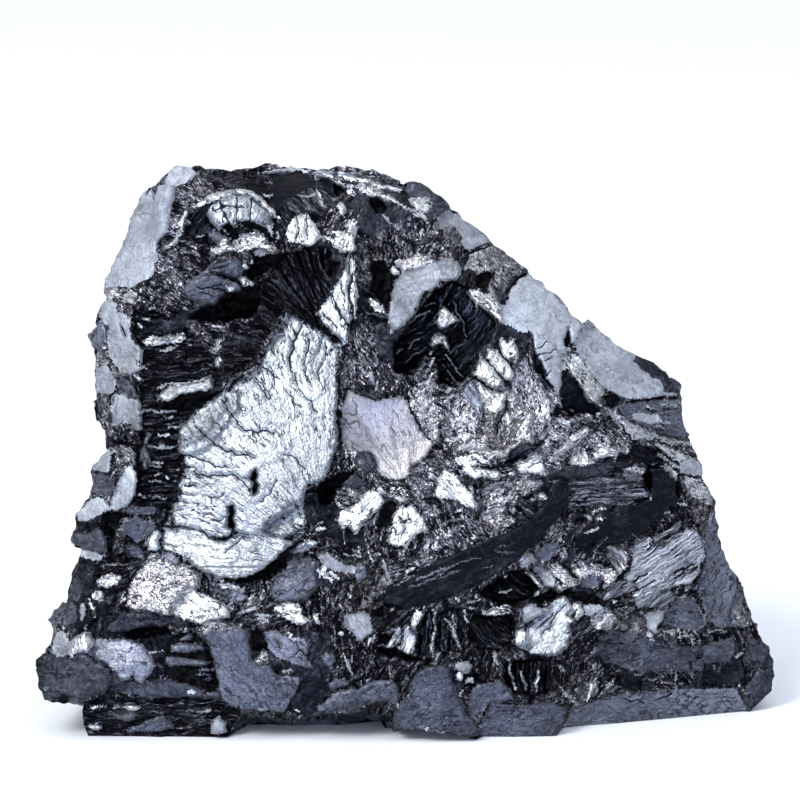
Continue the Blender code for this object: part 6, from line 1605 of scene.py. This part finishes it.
def shungite(name, dark, light, metal, rough, streak, chips, hair, worm, wire, cloud, speck, bite, bump):
    """Half-metallic carbon mineral: dark and light mixed by tone, grain, chips, hairlines and grains."""
    material = bpy.data.materials.new("shungite_" + name)
    material.use_nodes = True
    tree = material.node_tree
    shader = tree.nodes["Principled BSDF"]
    tone = node(tree, "Attribute", attribute_name="tone").outputs["Fac"]
    spot = node(tree, "TexCoord").outputs["Object"]
    grain = bent_grain(tree, spot)
    clouds = solid_noise(tree, spot, CLOUD_SIZE, 5.0, 0.62)
    lines = grain_noise(tree, grain, streak[0], streak[1])
    grains = node(tree, "TexVoronoi", {"Vector": spot, "Scale": 1 / MM / speck[0]})
    dark_hair = contours(tree, grain, *hair[:4])
    level = lit_level(tree, tone, grain, lines, clouds, grains, streak, chips, wire, cloud, speck)
    level = darkened(tree, level, spot, grain, clouds, dark_hair, hair, worm, bite)
    level = math_of(tree, "POWER", math_of(tree, "MAXIMUM", level, 0.0), CONTRAST)
    level = math_of(tree, "MINIMUM", level, 1.0)
    colour = node(tree, "Mix", {"Factor": level, 6: linear(dark), 7: linear(light)}, data_type="RGBA")
    tree.links.new(colour.outputs[2], shader.inputs["Base Color"])
    shader.inputs["Metallic"].default_value = metal
    tree.links.new(added(tree, rough[0], clouds, 0.5, rough[1] * 2), shader.inputs["Roughness"])
    height = dimmed(tree, lines, dark_hair, 0.5)
    fine = node(tree, "Bump", {"Height": height, "Distance": bump[0] * MM, "Strength": 1.0})
    coarse = node(tree, "Bump", {"Height": grains.outputs["Distance"], "Distance": bump[1] * MM,
                                 "Strength": 1.0, "Normal": fine.outputs[0]})
    tree.links.new(coarse.outputs[0], shader.inputs["Normal"])
    return material


# ---- stone, floor, light

# Lights: name, power in watts, size, place and aim in metres, colour.
LIGHTS = (
    ("window", 10.0, 0.5, (-0.55, -0.75, 0.85), (0, 0, 0.03), "#ffffff"),
    ("sky", 3.0, 0.9, (0.3, -0.2, 1.2), (0, 0, 0.03), "#eef2ff"),
    ("fill", 1.3, 0.4, (-0.1, -0.7, 0.1), (0, 0, 0.02), "#b9c8ff"),
)
CAMERA_AIM = (-0.95, 45.27, 10)  # s, t and depth
CAMERA_AWAY = 1.2012  # metres
CAMERA_LENS = 400
# Light from all round: colours below and above, strength, level, and its change upwards and to the right.
WORLD_LOW, WORLD_HIGH, WORLD_STRENGTH = "#6a7390", "#f4f7ff", 1.12
WORLD_LEVEL, WORLD_UP, WORLD_RIGHT = 0.6, 0.35, -0.25


def build_stone(source):
    """The solid with its front laid again in fine break faces, painted all round."""
    facets = splinters()
    facets += [Facet(*row) for row in rows_of(FACETS)]
    facets += [sliver(*row) for row in rows_of(SLIVERS)]
    mesh = bmesh.new()
    mesh.from_mesh(source.data)
    bmesh.ops.remove_doubles(mesh, verts=mesh.verts, dist=0.002 * MM)
    # painted shade of cracks and gaps, and nearness to facet edges for their painted edge shade
    mesh.verts.layers.float.new("crack")
    mesh.verts.layers.float.new("edge")
    mesh.loops.layers.float.new("tone")
    while mesh.loops.layers.uv:
        mesh.loops.layers.uv.remove(mesh.loops.layers.uv[0])
    mesh.loops.layers.uv.new("grain")
    open_front(mesh)
    front = lay_front(mesh, facets)
    refine_rest(mesh, front)
    bmesh.ops.recalc_face_normals(mesh, faces=mesh.faces)
    paint(mesh, facets, front)
    for face in mesh.faces:
        face.smooth = True
    data = bpy.data.meshes.new("stone_surface")
    mesh.to_mesh(data)
    mesh.free()
    data.set_sharp_from_angle(angle=SHARP)
    for name, look in FINISHES.items():
        data.materials.append(shungite(name, **look))
    stone = bpy.data.objects.new("stone_surface", data)
    bpy.context.scene.collection.objects.link(stone)
    return stone


def add_floor():
    """White paper that reaches out of sight on every side."""
    mesh = bmesh.new()
    bmesh.ops.create_grid(mesh, x_segments=1, y_segments=1, size=3.0)
    data = bpy.data.meshes.new("floor")
    mesh.to_mesh(data)
    mesh.free()
    floor = bpy.data.objects.new("floor", data)
    bpy.context.scene.collection.objects.link(floor)
    paper = bpy.data.materials.new("white_paper")
    paper.use_nodes = True
    shader = paper.node_tree.nodes["Principled BSDF"]
    shader.inputs["Base Color"].default_value = linear("#eef2f5")
    shader.inputs["Roughness"].default_value = 0.9
    data.materials.append(paper)
    return floor


def add_light(name, power, size, at, towards, colour):
    """A round lamp that faces its aim."""
    data = bpy.data.lights.new(name, "AREA")
    data.energy = power
    data.color = linear(colour)[:3]
    data.shape = "DISK"
    data.size = size
    light = bpy.data.objects.new(name, data)
    light.location = at
    light.rotation_euler = (Vector(towards) - Vector(at)).to_track_quat("-Z", "Y").to_euler()
    bpy.context.scene.collection.objects.link(light)


def add_camera():
    """Looks down 12 degrees from the front, from far away."""
    data = bpy.data.cameras.new("camera")
    data.lens = CAMERA_LENS
    data.sensor_width = 36
    data.clip_end = 10
    camera = bpy.data.objects.new("camera", data)
    camera.location = place(*CAMERA_AIM) - INWARD * CAMERA_AWAY
    camera.rotation_euler = INWARD.to_track_quat("-Z", "Y").to_euler()
    bpy.context.scene.collection.objects.link(camera)
    bpy.context.scene.camera = camera


def set_world():
    """Soft light from all round, brightest above and to the left."""
    world = bpy.data.worlds.new("studio")
    bpy.context.scene.world = world
    world.use_nodes = True
    tree = world.node_tree
    way = node(tree, "TexCoord").outputs["Generated"]
    way = node(tree, "SeparateXYZ", {"Vector": way})
    level = math_of(tree, "MULTIPLY_ADD", way.outputs["Z"], WORLD_UP, WORLD_LEVEL)
    level = math_of(tree, "MULTIPLY_ADD", way.outputs["X"], WORLD_RIGHT, level, clamp=True)
    colour = node(tree, "Mix", {"Factor": level, 6: linear(WORLD_LOW), 7: linear(WORLD_HIGH)},
                  data_type="RGBA")
    tree.links.new(colour.outputs[2], tree.nodes["Background"].inputs["Color"])
    tree.nodes["Background"].inputs["Strength"].default_value = WORLD_STRENGTH


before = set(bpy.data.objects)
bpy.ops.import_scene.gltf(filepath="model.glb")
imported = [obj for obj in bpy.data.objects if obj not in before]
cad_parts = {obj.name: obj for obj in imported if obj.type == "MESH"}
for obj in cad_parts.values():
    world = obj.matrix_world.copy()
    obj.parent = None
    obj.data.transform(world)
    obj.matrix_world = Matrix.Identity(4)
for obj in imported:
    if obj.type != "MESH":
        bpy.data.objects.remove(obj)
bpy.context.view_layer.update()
stone = build_stone(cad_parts["stone"])
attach(stone, "root")
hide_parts("stone")
add_floor()
for lamp in LIGHTS:
    add_light(*lamp)
set_world()
add_camera()
bpy.context.scene.view_settings.view_transform = "Standard"
